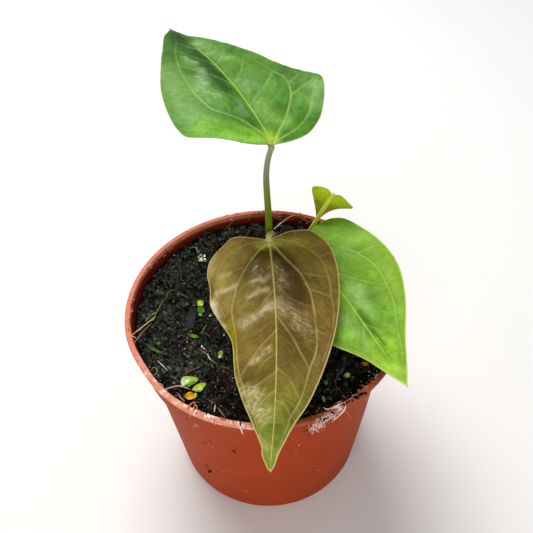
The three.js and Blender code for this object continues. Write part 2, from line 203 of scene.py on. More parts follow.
def sweep(path, width, depth, sides=8, reference=(0, 0, 1), cup=0.0):
    # a section carried along a path:
    # path + side * width * cos(angle) + up * (depth * sin(angle) + cup * cos(angle)^2).
    # Side lies across the path and square to the reference, and a single point closes each end.
    path = np.asarray(path, float)
    count = len(path)
    tangent = np.gradient(path, axis=0)
    side = unitVectors(np.cross(tangent, np.asarray(reference, float)))
    up = unitVectors(np.cross(side, tangent))
    angle = np.linspace(0, 2 * np.pi, sides, endpoint=False)
    width, depth, cup = (eased(np.atleast_1d(run), count)[:, None, None] for run in (width, depth, cup))
    cos, sin = np.cos(angle)[None, :, None], np.sin(angle)[None, :, None]
    rings = path[:, None] + side[:, None] * width * cos + up[:, None] * (depth * sin + cup * cos**2)
    return np.vstack([rings.reshape(-1, 3), path[:1], path[-1:]]), *ringFaces(count, sides)


def toneRun(tones, count, sides):
    # colours eased along a swept shape, for every point of its rings and for its two end points
    values = np.array([linear(tone) for tone in tones])
    run = np.stack([eased(channel, count) for channel in values.T], -1)
    return np.vstack([np.repeat(run, sides, axis=0), run[:1], run[-1:]])


def joinedPiece(name, parts, material):
    # several swept or scattered shapes, each with its own colour, as one piece
    points, quads, caps, colours = [], [], [], []
    offset = 0
    for (own, ownQuads, ownCaps), colour in parts:
        points.append(own)
        quads.append(ownQuads + offset)
        caps.append(ownCaps + offset)
        colours.append(np.broadcast_to(colour, (len(own), 4)))
        offset += len(own)
    faceSets = [faces for faces in (np.vstack(quads), np.vstack(caps)) if len(faces)]
    return newPiece(name, np.vstack(points), faceSets, material, {"tint": np.vstack(colours)})


# Noise
def latticeValue(cells, seed):
    # one repeatable random number from 0 to 1 for each whole-numbered cell
    mixed = np.zeros(cells.shape[:-1], np.int64) + seed * 7919
    for axis, factor in enumerate((73856093, 19349663, 83492791)[:cells.shape[-1]]):
        mixed = mixed ^ (cells[..., axis] * factor)
    mixed = (mixed ^ (mixed >> 13)) * 1274126177 & 0x7FFFFFFF
    return ((mixed ^ (mixed >> 16)) & 0xFFFFF) / 0xFFFFF


def softNoise(points, spacing, seed):
    # random numbers at the corners of a lattice, eased between them, from -1 to 1
    scaled = np.asarray(points, float) / spacing
    cell = np.floor(scaled).astype(np.int64)
    part = scaled - cell
    part = part * part * (3 - 2 * part)
    total = np.zeros(cell.shape[:-1])
    size = cell.shape[-1]
    for corner in np.ndindex(*([2] * size)):
        weight = np.prod(np.where(np.array(corner) == 1, part, 1 - part), axis=-1)
        total += weight * latticeValue(cell + np.array(corner), seed)
    return 2 * total - 1


def noiseSum(points, start, *layers):
    # a start value with layers of soft noise on it, each (amount, spacing, seed)
    total = start
    for amount, spacing, seed in layers:
        total = total + amount * softNoise(points, spacing, seed)
    return total


def crumbField(points, spacing, seed):
    # distance to the nearest scattered seed point, as a share of the spacing, and that seed's random number
    scaled = np.asarray(points, float) / spacing
    cell = np.floor(scaled).astype(np.int64)
    nearest = np.full(len(scaled), 9.0)
    value = np.zeros(len(scaled))
    for shift in np.ndindex(3, 3):
        other = cell + np.array(shift) - 1
        spot = other + np.stack([latticeValue(other, seed), latticeValue(other, seed + 1)], -1)
        away = np.linalg.norm(scaled - spot, axis=1)
        closer = away < nearest
        nearest = np.where(closer, away, nearest)
        value = np.where(closer, latticeValue(other, seed + 2), value)
    return nearest, value


# Pot: moulded polypropylene with a terracotta pigment
potShape = {
    "height": 75.0,
    "rimRadius": 45.0,
    "baseRadius": 33.4,
    "neckRadius": 40.3,
    "neckDepth": 10.8,
    "wall": 1.1,
    "floor": 1.5,
    "lipWidth": 1.8,
    "lipHeight": 1.6,
    "middleRadius": 12.0,
    "channelInner": 13.5,
    "channelOuter": 26.0,
    "footInner": 27.5,
    "footFillet": 1.4,
    "channelRise": 1.6,
    "channelStep": 0.7,  # the channel's walls seen from inside stand this much further out
    "poleRadius": 0.02,
    "drainHoles": 6,
    "drainHoleRadius": 3.0,
    "drainHoleSides": 40,
    "sides": 256,
    "faceLength": 2.5,
    "bulges": [(208, 12, 59, 8, 1.8), (211, 13, 75, 4, -0.7), (334, 16, 46, 13, -0.6)],  # see wallBulge
}

potTones = {
    "darkPigment": "#a03810",
    "lightPigment": "#aa3f16",
    "dust": "#bd7656",
    # painted shade: the inner wall's deeper red
    "innerWallShade": "#6c1a09",
    # painted shade: near black at the foot of the inner wall
    "wallFootShade": "#160c08",
    "lip": "#9c4419",
    # painted highlight: pale salmon on the lip, paler at the front, with the palest glints
    "lipSheen": "#dc866c",
    "frontLipSheen": "#f0a48c",
    "lipGlint": "#ffe6dc",
}


def wallRadius(height):
    # outer radius of the wall: one taper up to the neck and a wider one from there to the lip
    shape = potShape
    neck = shape["height"] - shape["neckDepth"]
    underLip = shape["height"] - shape["lipHeight"]
    rim = shape["rimRadius"] - shape["lipWidth"] / 2
    return np.interp(height, [0, neck, underLip], [shape["baseRadius"], shape["neckRadius"], rim])


def wallBulge(points):
    # how far the thin wall stands out from its round form, for (direction in degrees, its width, height, its reach,
    # amount): the sum of amount * exp(-(turn / width)^2 - (rise / reach)^2)
    direction = np.degrees(np.arctan2(points[..., 1], points[..., 0])) % 360
    total = 0 * direction
    for around, width, height, reach, amount in potShape["bulges"]:
        total = total + amount * np.exp(-((direction - around) / width)**2 - ((points[..., 2] - height) / reach)**2)
    return total


def bulged(points):
    # points near the wall carried outwards with it, and the ones near the middle left where they are
    radius = np.hypot(points[..., 0], points[..., 1])
    share = wallBulge(points) * np.clip(radius / potShape["neckRadius"], 0, 1)**8 / np.maximum(radius, 1)
    return points * np.stack([1 + share, 1 + share, 1 + 0 * share], -1)


def roundedProfile(corners, bend=4):
    # a closed outline whose corners [radius, height, rounding] are turned into arcs of quadratic curves
    corners = np.array(corners, float)
    own, rounding = corners[:, :2], corners[:, 2:]
    toward, away = (unitVectors(np.roll(own, turn, 0) - own) for turn in (1, -1))
    t = np.linspace(0, 1, bend)[None, :, None]
    start, end, middle = (own + toward * rounding)[:, None], (own + away * rounding)[:, None], own[:, None]
    return ((1 - t)**2 * start + 2 * t * (1 - t) * middle + t**2 * end).reshape(-1, 2)


def makePot():
    shape = potShape
    height, wall, floor, lip, rim = (shape[key] for key in ("height", "wall", "floor", "lipWidth", "rimRadius"))
    pole, channel, step = (shape[key] for key in ("poleRadius", "channelRise", "channelStep"))
    underLip = height - shape["lipHeight"]
    neck = height - shape["neckDepth"]
    corners = [  # radius, height, rounding
        (pole, 0, 0), (shape["middleRadius"], 0, 0.5), (shape["channelInner"], channel, 0.5),
        (shape["channelOuter"], channel, 0.5), (shape["footInner"], 0, 0.4),
        (shape["baseRadius"], 0, shape["footFillet"]), (shape["neckRadius"], neck, 0.9),
        (wallRadius(underLip), underLip, 0.25), (rim, underLip + 0.15, 0.45), (rim, height, 0.65),
        (rim - lip, height, 0.5), (wallRadius(underLip) - wall, underLip - 0.5, 0.4),
        (shape["neckRadius"] - wall, neck, 0.9), (wallRadius(floor) - wall, floor, 1.0),
        (shape["footInner"] + step, floor, 0.4), (shape["channelOuter"] + step, channel + floor, 0.5),
        (shape["channelInner"] - step, channel + floor, 0.5), (shape["middleRadius"] - step, floor, 0.4),
        (pole, floor, 0),
    ]
    profile = roundedProfile(corners)
    # long straight stretches are divided, so that the surface keeps even faces
    lengths = np.linalg.norm(np.diff(profile, axis=0), axis=1)
    pieces = [np.linspace(a, b, max(2, int(reach / shape["faceLength"]) + 1))[:-1]
              for a, b, reach in zip(profile[:-1], profile[1:], lengths) if reach > 1e-6]
    profile = np.vstack(pieces + [profile[-1:]])
    angle = np.linspace(0, 2 * np.pi, shape["sides"], endpoint=False)
    radius, level = profile[:, :1], profile[:, 1:]
    # point(step, angle) = radius * cos(angle), radius * sin(angle), height
    points = np.stack([radius * np.cos(angle), radius * np.sin(angle), level + 0 * angle], -1).reshape(-1, 3)
    points = bulged(np.vstack([points, [[0, 0, 0]], [[0, 0, floor]]]))
    faces = ringFaces(len(profile), shape["sides"], flip=True)
    piece = newPiece("potShell", points, faces, polypropylene())
    cutDrainHoles(piece)
    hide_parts("pot")


def cutDrainHoles(piece):
    shape = potShape
    cutter = bmesh.new()
    circle = (shape["channelInner"] + shape["channelOuter"]) / 2
    radius = shape["drainHoleRadius"] * mm
    for i in range(shape["drainHoles"]):
        angle = 2 * np.pi * i / shape["drainHoles"]
        place = Vector((circle * np.cos(angle), circle * np.sin(angle), shape["channelRise"] + shape["floor"])) * mm
        bmesh.ops.create_cone(
            cutter, cap_ends=True, segments=shape["drainHoleSides"], radius1=radius, radius2=radius,
            depth=6 * shape["floor"] * mm, matrix=Matrix.Translation(place))
    data = bpy.data.meshes.new("drainCutter")
    cutter.to_mesh(data)
    cutter.free()
    tool = bpy.data.objects.new("drainCutter", data)
    bpy.context.scene.collection.objects.link(tool)
    cut = piece.modifiers.new("drain", "BOOLEAN")
    cut.operation = "DIFFERENCE"
    cut.object = tool
    bpy.context.view_layer.update()
    finished = bpy.data.meshes.new_from_object(piece.evaluated_get(bpy.context.evaluated_depsgraph_get()))
    piece.modifiers.clear()
    piece.data = finished
    bpy.data.objects.remove(tool)


def polypropylene():
    # injection-moulded polypropylene with terracotta pigment: satin, faintly mottled, with a film of dust, painted
    # shade on the inner wall and at its foot, and a painted highlight that makes the lip pale salmon along its left
    # and front. Grain of the mould
    # 0.5 mm, clouds of pigment 9 mm, dust specks 0.8 mm.
    material, tree = newMaterial("moulded polypropylene, terracotta")
    coordinates = addNode(tree, "TexCoord").outputs["Object"]
    axes = addNode(tree, "SeparateXYZ", {}, {0: coordinates})
    clouds = addNode(tree, "TexNoise", {"Scale": 1 / (9 * mm), "Detail": 4}, {"Vector": coordinates})
    colour = addNode(tree, "ValToRGB", {}, {0: clouds},
                     stops=[(0.3, linear(potTones["darkPigment"])), (0.7, linear(potTones["lightPigment"]))])
    grain = addNode(tree, "TexNoise", {"Scale": 1 / (0.5 * mm), "Detail": 2}, {"Vector": coordinates})
    dust = addNode(tree, "TexNoise", {"Scale": 1 / (0.8 * mm), "Detail": 3, "Roughness": 0.7},
                   {"Vector": coordinates})
    specks = addNode(tree, "MapRange", {"From Min": 0.66, "From Max": 0.78, "To Max": 0.25}, {"Value": dust})
    dusty = addNode(tree, "Mix", {"data_type": "RGBA", 7: linear(potTones["dust"])}, {0: specks, 6: colour})
    # painted shade: the inner wall above the soil is painted a deeper red, fully where x is under 22 mm and fading
    # out by 34 mm:
    # radius - slope * height is smaller there than on the outer wall
    flatPlace = addNode(tree, "VectorMath", {"operation": "MULTIPLY", 1: (1, 1, 0)}, {0: coordinates})
    radius = addNode(tree, "VectorMath", {"operation": "LENGTH"}, {0: flatPlace})
    low, middle, high = 65.0, 70.0, 73.0  # heights on the wall above its neck, in mm
    slope = (wallRadius(high) - wallRadius(low)) / (high - low)
    offset = addNode(tree, "Math", {"operation": "MULTIPLY_ADD", 1: -slope}, {0: axes.outputs["Z"], 2: radius})
    midWall = (wallRadius(middle) - potShape["wall"] / 2 - slope * middle) * mm
    inner = addNode(tree, "MapRange", {"From Min": midWall + 0.1 * mm, "From Max": midWall - 0.1 * mm},
                    {"Value": offset})
    leftward = addNode(tree, "MapRange", {"From Min": 34 * mm, "From Max": 22 * mm, "To Max": 0.85},
                       {"Value": axes.outputs["X"]})
    innerShadeLeft = addNode(tree, "Math", {"operation": "MULTIPLY"}, {0: inner, 1: leftward})
    walled = addNode(tree, "Mix", {"data_type": "RGBA", 7: linear(potTones["innerWallShade"])}, {0: innerShadeLeft, 6: dusty})
    # painted shade: the foot of the inner wall, just above the soil, is painted near black
    raised = addNode(tree, "Math", {"operation": "MULTIPLY_ADD", 1: 2.0 * mm}, {0: dust, 2: axes.outputs["Z"]})
    footShade = addNode(tree, "MapRange", {"From Min": 71.7 * mm, "From Max": 73.5 * mm, "To Min": 0.93, "To Max": 0},
                    {"Value": raised})
    footShadeAmount = addNode(tree, "Math", {"operation": "MULTIPLY"}, {0: inner, 1: footShade})
    footShaded = addNode(tree, "Mix", {"data_type": "RGBA", 7: linear(potTones["wallFootShade"])}, {0: footShadeAmount, 6: walled})
    lip = addNode(tree, "MapRange", {"From Min": 73.0 * mm, "From Max": 73.8 * mm}, {"Value": axes.outputs["Z"]})
    lipped = addNode(tree, "Mix", {"data_type": "RGBA", 7: linear(potTones["lip"])}, {0: lip, 6: footShaded})
    # painted highlight: the lip is painted pale salmon towards the left and the front in patches, with the palest
    # glints at the front
    sheenLeftward = addNode(tree, "MapRange", {"From Min": 8 * mm, "From Max": -9 * mm, "To Min": 0.1},
                   {"Value": axes.outputs["X"]})
    blotch = addNode(tree, "TexNoise", {"Scale": 1 / (2.2 * mm), "Detail": 5, "Roughness": 0.65},
                     {"Vector": coordinates})
    sheenBreakup = addNode(tree, "MapRange", {"From Min": 0.3, "From Max": 0.56, "To Min": 0.55}, {"Value": blotch})
    lipSheenLeft = addNode(tree, "Math", {"operation": "MULTIPLY"}, {0: lip, 1: sheenLeftward})
    lipSheenAmount = addNode(tree, "Math", {"operation": "MULTIPLY"}, {0: lipSheenLeft, 1: sheenBreakup})
    forward = addNode(tree, "MapRange", {"From Min": -14 * mm, "From Max": -36 * mm}, {"Value": axes.outputs["Y"]})
    sheenTone = addNode(tree, "Mix", {"data_type": "RGBA", 6: linear(potTones["lipSheen"]),
                                   7: linear(potTones["frontLipSheen"])}, {0: forward})
    lipGlint = addNode(tree, "MapRange", {"From Min": 0.52, "From Max": 0.6, "To Max": 0.9}, {"Value": blotch})
    glintAmount = addNode(tree, "Math", {"operation": "MULTIPLY"}, {0: lipGlint, 1: forward})
    glintedSheen = addNode(tree, "Mix", {"data_type": "RGBA", 7: linear(potTones["lipGlint"])}, {0: glintAmount, 6: sheenTone})
    final = addNode(tree, "Mix", {"data_type": "RGBA"}, {0: lipSheenAmount, 6: lipped, 7: glintedSheen})
    roughness = addNode(tree, "MapRange", {"To Min": 0.5, "To Max": 0.64}, {"Value": clouds})
    bump = addNode(tree, "Bump", {"Strength": 0.25, "Distance": 0.03 * mm}, {"Height": grain})
    finishMaterial(tree, {"IOR": 1.49, "Specular IOR Level": 0.08},
                   {"Base Color": final, "Roughness": roughness, "Normal": bump})
    return material


makePot()
print("pot made")

# Soil: damp black peat
soilShape = {
    "level": 71.0,
    "tilt": 0.012,
    "crownCentre": (3.9, 13.8),
    "crownRadius": 4.6,
    "domes": ((3.1, 0.8, 3), (1.5, 0.75, 7), (0.9, 0.4, 13)),  # spacing, height, seed
    "sink": 0.75,
    "wallGap": 0.02,
    "edgeDip": 0.5,
    "edgeReach": 0.8,
    "rings": 122,
    "sides": 540,
    "crumbs": 7200,
    "crumbSize": 0.32,  # the middle one, with the spread of its logarithm and the limits
    "crumbSpread": 0.42,
    "crumbLimits": (0.17, 1.1),
    "seed": 11,
}
soilTones = {
    "peat": "#2d261f",
    "green": "#30342a",
    "grey": "#6e726a",
    "brown": "#3d2a1d",
    "pale": "#a59a7c",
    "greyFrom": 0.5,  # shares of the crumbs: grey above, brown and pale below
    "brownTo": 0.12,
    "paleTo": 0.005,
    "brightest": 0.125,
    "paleCentre": (-25, -18),  # soil and crumbs are paler around this place at the left front
    "paleReach": 15.0,
}
sightWalk = {"near": 180, "far": 420, "step": 0.12}  # mm from the camera


def soilTop(x, y):
    # overlapping waves that die away at the crown
    lumps = (0.55 * np.sin(0.61 * x + 1.3) * np.cos(0.53 * y - 0.4) + 0.4 * np.sin(0.97 * x - 0.83 * y)
             + 0.3 * np.cos(1.31 * x + 1.13 * y + 2))
    radius = soilShape["crownRadius"]
    away = np.hypot(x - soilShape["crownCentre"][0], y - soilShape["crownCentre"][1])
    return soilShape["level"] + soilShape["tilt"] * y + lumps * np.clip((away - radius) / radius, 0, 1)


def soilRelief(x, y):
    # three sizes of rounded crumbs, each a dome that falls with the square of the distance from its seed
    flat = np.stack([x, y], -1).reshape(-1, 2)
    relief = 0.0
    for spacing, rise, seed in soilShape["domes"]:
        away, value = crumbField(flat, spacing, seed)
        relief = relief + rise * (0.35 + 0.65 * value) * np.clip(1 - 1.6 * away**2, 0, 1)
    return relief.reshape(np.shape(x)) - soilShape["sink"]


def laid(pixels, lift=0.3):
    # where lines of sight, walked in small steps, first come within a lift of the soil, the lip or the pot's wall;
    # one that misses them all ends on the lip beside it
    shape = potShape
    lift = np.broadcast_to(lift, len(pixels))[:, None]
    reach = np.arange(sightWalk["near"], sightWalk["far"], sightWalk["step"])
    walk = np.array(photoView["place"]) + pixelRays(pixels)[:, None] * reach[None, :, None]
    x, y, z = walk[..., 0], walk[..., 1], walk[..., 2]
    radius = np.hypot(x, y) - wallBulge(walk)
    inLip = z > shape["height"] - shape["lipHeight"]
    outer = np.where(inLip, shape["rimRadius"], wallRadius(z))
    inner = outer - np.where(inLip, shape["lipWidth"], shape["wall"])
    low = z < shape["height"] + lift
    touches = low & (radius < outer + lift) & ((radius > inner - lift) | (z < soilTop(x, y) + lift))
    missed = ~touches.any(axis=1)
    beside = np.argmin(np.hypot(radius - shape["rimRadius"], z - shape["height"]), axis=1)
    place = walk[np.arange(len(walk)), np.where(missed, beside, np.argmax(touches, axis=1))]
    onLip = place * ((shape["rimRadius"] - shape["lipWidth"] / 2) / np.hypot(place[:, 0], place[:, 1]))[:, None]
    onLip[:, 2] = shape["height"] + lift[:, 0] / 2
    return np.where(missed[:, None], onLip, place)


def paleSpot(points):
    away = np.hypot(points[:, 0] - soilTones["paleCentre"][0], points[:, 1] - soilTones["paleCentre"][1])
    return np.exp(-(away / soilTones["paleReach"])**2)[:, None]


def soilColour(points):
    # greenish grey towards the left and the back, brown in drifts, with painted shade that makes it nearly black
    # towards the front, and paler around a place at the left front
    x, y = points[:, 0], points[:, 1]
    flat = np.stack([x, y], -1)
    green = np.clip(0.45 - x / 60 + 0.5 * softNoise(flat, 9.0, 21), 0, 1)[:, None]
    brown = np.clip(0.9 * softNoise(flat, 6.0, 22) - 0.15, 0, 1)[:, None]
    base = linear(soilTones["peat"]) * (1 - green) + linear(soilTones["green"]) * green
    # painted shade: the soil is painted up to half as bright towards the front
    frontShade = np.clip((-24 - y) / 6, 0, 1)[:, None]
    base = base * (1 - brown) + linear(soilTones["brown"]) * brown
    return base * (1 - 0.5 * frontShade) * (1 + 0.6 * paleSpot(points))


def makeSoil():
    shape = soilShape
    edge = wallRadius(shape["level"] - 0.5) - potShape["wall"] - shape["wallGap"]
    rings, sides = shape["rings"], shape["sides"]
    radius = edge * (1 - np.arange(rings) / rings)[:, None]
    angle = np.linspace(0, 2 * np.pi, sides, endpoint=False)[None]
    # top: a polar grid raised to the height of the waves and the crumbs; below it the wall's own taper
    x, y = radius * np.cos(angle), radius * np.sin(angle)
    top = soilTop(x, y) + soilRelief(x, y) - shape["edgeDip"] * np.exp(-(edge - radius) / shape["edgeReach"])
    bottom = potShape["channelRise"] + potShape["floor"] + 0.3
    levels = np.array([bottom, potShape["height"] - potShape["neckDepth"], shape["level"] - 2.5])
    below = wallRadius(levels)[:, None] - potShape["wall"] - shape["wallGap"]
    lower = np.stack([below * np.cos(angle), below * np.sin(angle), levels[:, None] + 0 * angle], -1)
    ends = [[0, 0, bottom]], [[0, 0, float(soilTop(0.0, 0.0))]]
    points = bulged(np.vstack([lower.reshape(-1, 3), np.stack([x, y, top], -1).reshape(-1, 3), *ends]))
    tint = soilColour(points)
    # painted shade: nearly black in the hollows
    hollow = points[:, 2] - soilTop(points[:, 0], points[:, 1])
    tint[:, :3] *= np.clip(0.3 + 1.1 * hollow, 0.04, 1.2)[:, None]
    faces = ringFaces(rings + len(levels), sides, flip=True)
    piece = newPiece("peatBed", points, faces, peat(), {"tint": tint})
    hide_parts("soil")


def peat():
    # damp peat: rough, with a weak wet glint. Crumbs 1.4 and 0.75 mm wide, each with a brightness of its own, painted
    # light in its middle and painted shade in the black gaps round it, on a fibre grain of 0.35 mm.
    material, tree = newMaterial("damp potting peat")
    coordinates = addNode(tree, "TexCoord").outputs["Object"]
    tint = addNode(tree, "Attribute", {"attribute_name": "tint"})
    warp = addNode(tree, "TexNoise", {"Scale": 1 / (0.8 * mm), "Detail": 3}, {"Vector": coordinates})
    bent = addNode(tree, "VectorMath", {"operation": "MULTIPLY_ADD", 1: (0.9 * mm, 0.9 * mm, 0.9 * mm)},
                   {0: warp.outputs["Color"], 2: coordinates})
    crumbs = []
    for spacing, brightest in ((1.4, 3.4), (0.75, 4.6)):
        cells = addNode(tree, "TexVoronoi", {"Scale": 1 / (spacing * mm)}, {"Vector": bent})
        litMiddle = addNode(tree, "MapRange", {"From Min": 0.6, "From Max": 0.2, "To Max": brightest}, {"Value": cells})
        own = addNode(tree, "SeparateColor", {}, {0: cells.outputs["Color"]})
        rare = addNode(tree, "Math", {"operation": "POWER", 1: 2.4}, {0: own})
        crumbs.append(addNode(tree, "Math", {"operation": "MULTIPLY"}, {0: litMiddle, 1: rare}))
    both = addNode(tree, "Math", {"operation": "ADD"}, {0: crumbs[0], 1: crumbs[1]})
    grain = addNode(tree, "TexNoise", {"Scale": 1 / (0.35 * mm), "Detail": 4, "Roughness": 0.65},
                    {"Vector": coordinates})
    fine = addNode(tree, "MapRange", {"From Min": 0.3, "From Max": 0.75, "To Min": 0.5, "To Max": 1.8},
                   {"Value": grain})
    lightness = addNode(tree, "Math", {"operation": "MULTIPLY_ADD"}, {0: both, 1: fine, 2: fine})
    scaled = addNode(tree, "Math", {"operation": "SUBTRACT", 1: 0.6}, {0: lightness})
    kept = addNode(tree, "Clamp", {"Min": 0.08, "Max": 2.4}, {"Value": scaled})
    colour = addNode(tree, "VectorMath", {"operation": "SCALE"}, {0: tint, "Scale": kept})
    roughness = addNode(tree, "MapRange", {"To Min": 0.95, "To Max": 0.55}, {"Value": grain})
    height = addNode(tree, "Math", {"operation": "MULTIPLY_ADD", 1: 0.4}, {0: both, 2: grain})
    bump = addNode(tree, "Bump", {"Strength": 0.8, "Distance": 0.15 * mm}, {"Height": height})
    finishMaterial(tree, {"IOR": 1.4, "Specular IOR Level": 0.1},
                   {"Base Color": colour, "Roughness": roughness, "Normal": bump})
    return material


def crumbShapes(places, sizes, seed):
    # lumpy grains: the corners of an icosahedron pushed in or out, stretched along three axes, turned at random and
    # flattened a little
    random = np.random.default_rng(seed)
    ball = bmesh.new()
    bmesh.ops.create_icosphere(ball, subdivisions=1, radius=1.0)
    corners = np.array([corner.co for corner in ball.verts])
    faces = np.array([[corner.index for corner in face.verts] for face in ball.faces])
    ball.free()
    count = len(places)
    lump = corners[None] * random.uniform(0.55, 1.3, (count, len(corners), 1))
    lump = lump * random.uniform(0.45, 1.4, (count, 1, 3))
    turn, _ = np.linalg.qr(random.normal(size=(count, 3, 3)))
    turn *= np.sign(np.linalg.det(turn))[:, None, None]
    lump = np.einsum("nij,nkj->nki", turn, lump) * np.array([1, 1, 0.8])
    points = lump * np.asarray(sizes)[:, None, None] + np.asarray(places)[:, None]
    faces = faces[None] + np.arange(count)[:, None, None] * len(corners)
    return points.reshape(-1, 3), np.zeros((0, 4), int), faces.reshape(-1, 3)


def scatterCrumbs():
    # loose peat crumbs all over the soil, most of each sunk in it
    shape, tones = soilShape, soilTones
    random = np.random.default_rng(shape["seed"])
    edge = wallRadius(shape["level"]) - potShape["wall"] - 0.4
    radius = edge * np.sqrt(random.uniform(0, 1, shape["crumbs"]))
    angle = random.uniform(0, 2 * np.pi, shape["crumbs"])
    x, y = radius * np.cos(angle), radius * np.sin(angle)
    away = np.hypot(x - shape["crownCentre"][0], y - shape["crownCentre"][1])
    x, y = x[away > shape["crownRadius"]], y[away > shape["crownRadius"]]
    count = len(x)
    sizes = shape["crumbSize"] * np.exp(shape["crumbSpread"] * random.normal(size=count))
    sizes = np.clip(sizes, *shape["crumbLimits"])
    places = np.stack([x, y, soilTop(x, y) + 0.3 * soilRelief(x, y) + 0.2 * sizes - 0.1], -1)
    points, _, faces = crumbShapes(places, sizes, shape["seed"] + 1)
    kind = random.uniform(0, 1, (count, 1))
    grey, brown, pale = (linear(tones[key])[:3] for key in ("grey", "brown", "pale"))
    # each crumb has its own brightness, less on a large one
    own = np.clip(np.exp(0.6 * random.normal(size=(count, 1))), 0.2, 1.5) * (1 + 2.0 * paleSpot(places))
    lit = own * np.clip(0.3 / sizes[:, None], 0.4, 1.1)
    tint = np.where(kind > tones["greyFrom"], grey * 0.8 * lit, soilColour(places)[:, :3])
    tint = np.minimum(np.where(kind < tones["brownTo"], brown * lit, tint), tones["brightest"])
    tint = np.where(kind < tones["paleTo"], 0.7 * pale, tint)
    colours = np.repeat(np.hstack([tint, np.ones((count, 1))]), len(points) // count, axis=0)
    newPiece("peatCrumbs", points, [faces], peat(), {"tint": colours})


makeSoil()
scatterCrumbs()
print("soil made")
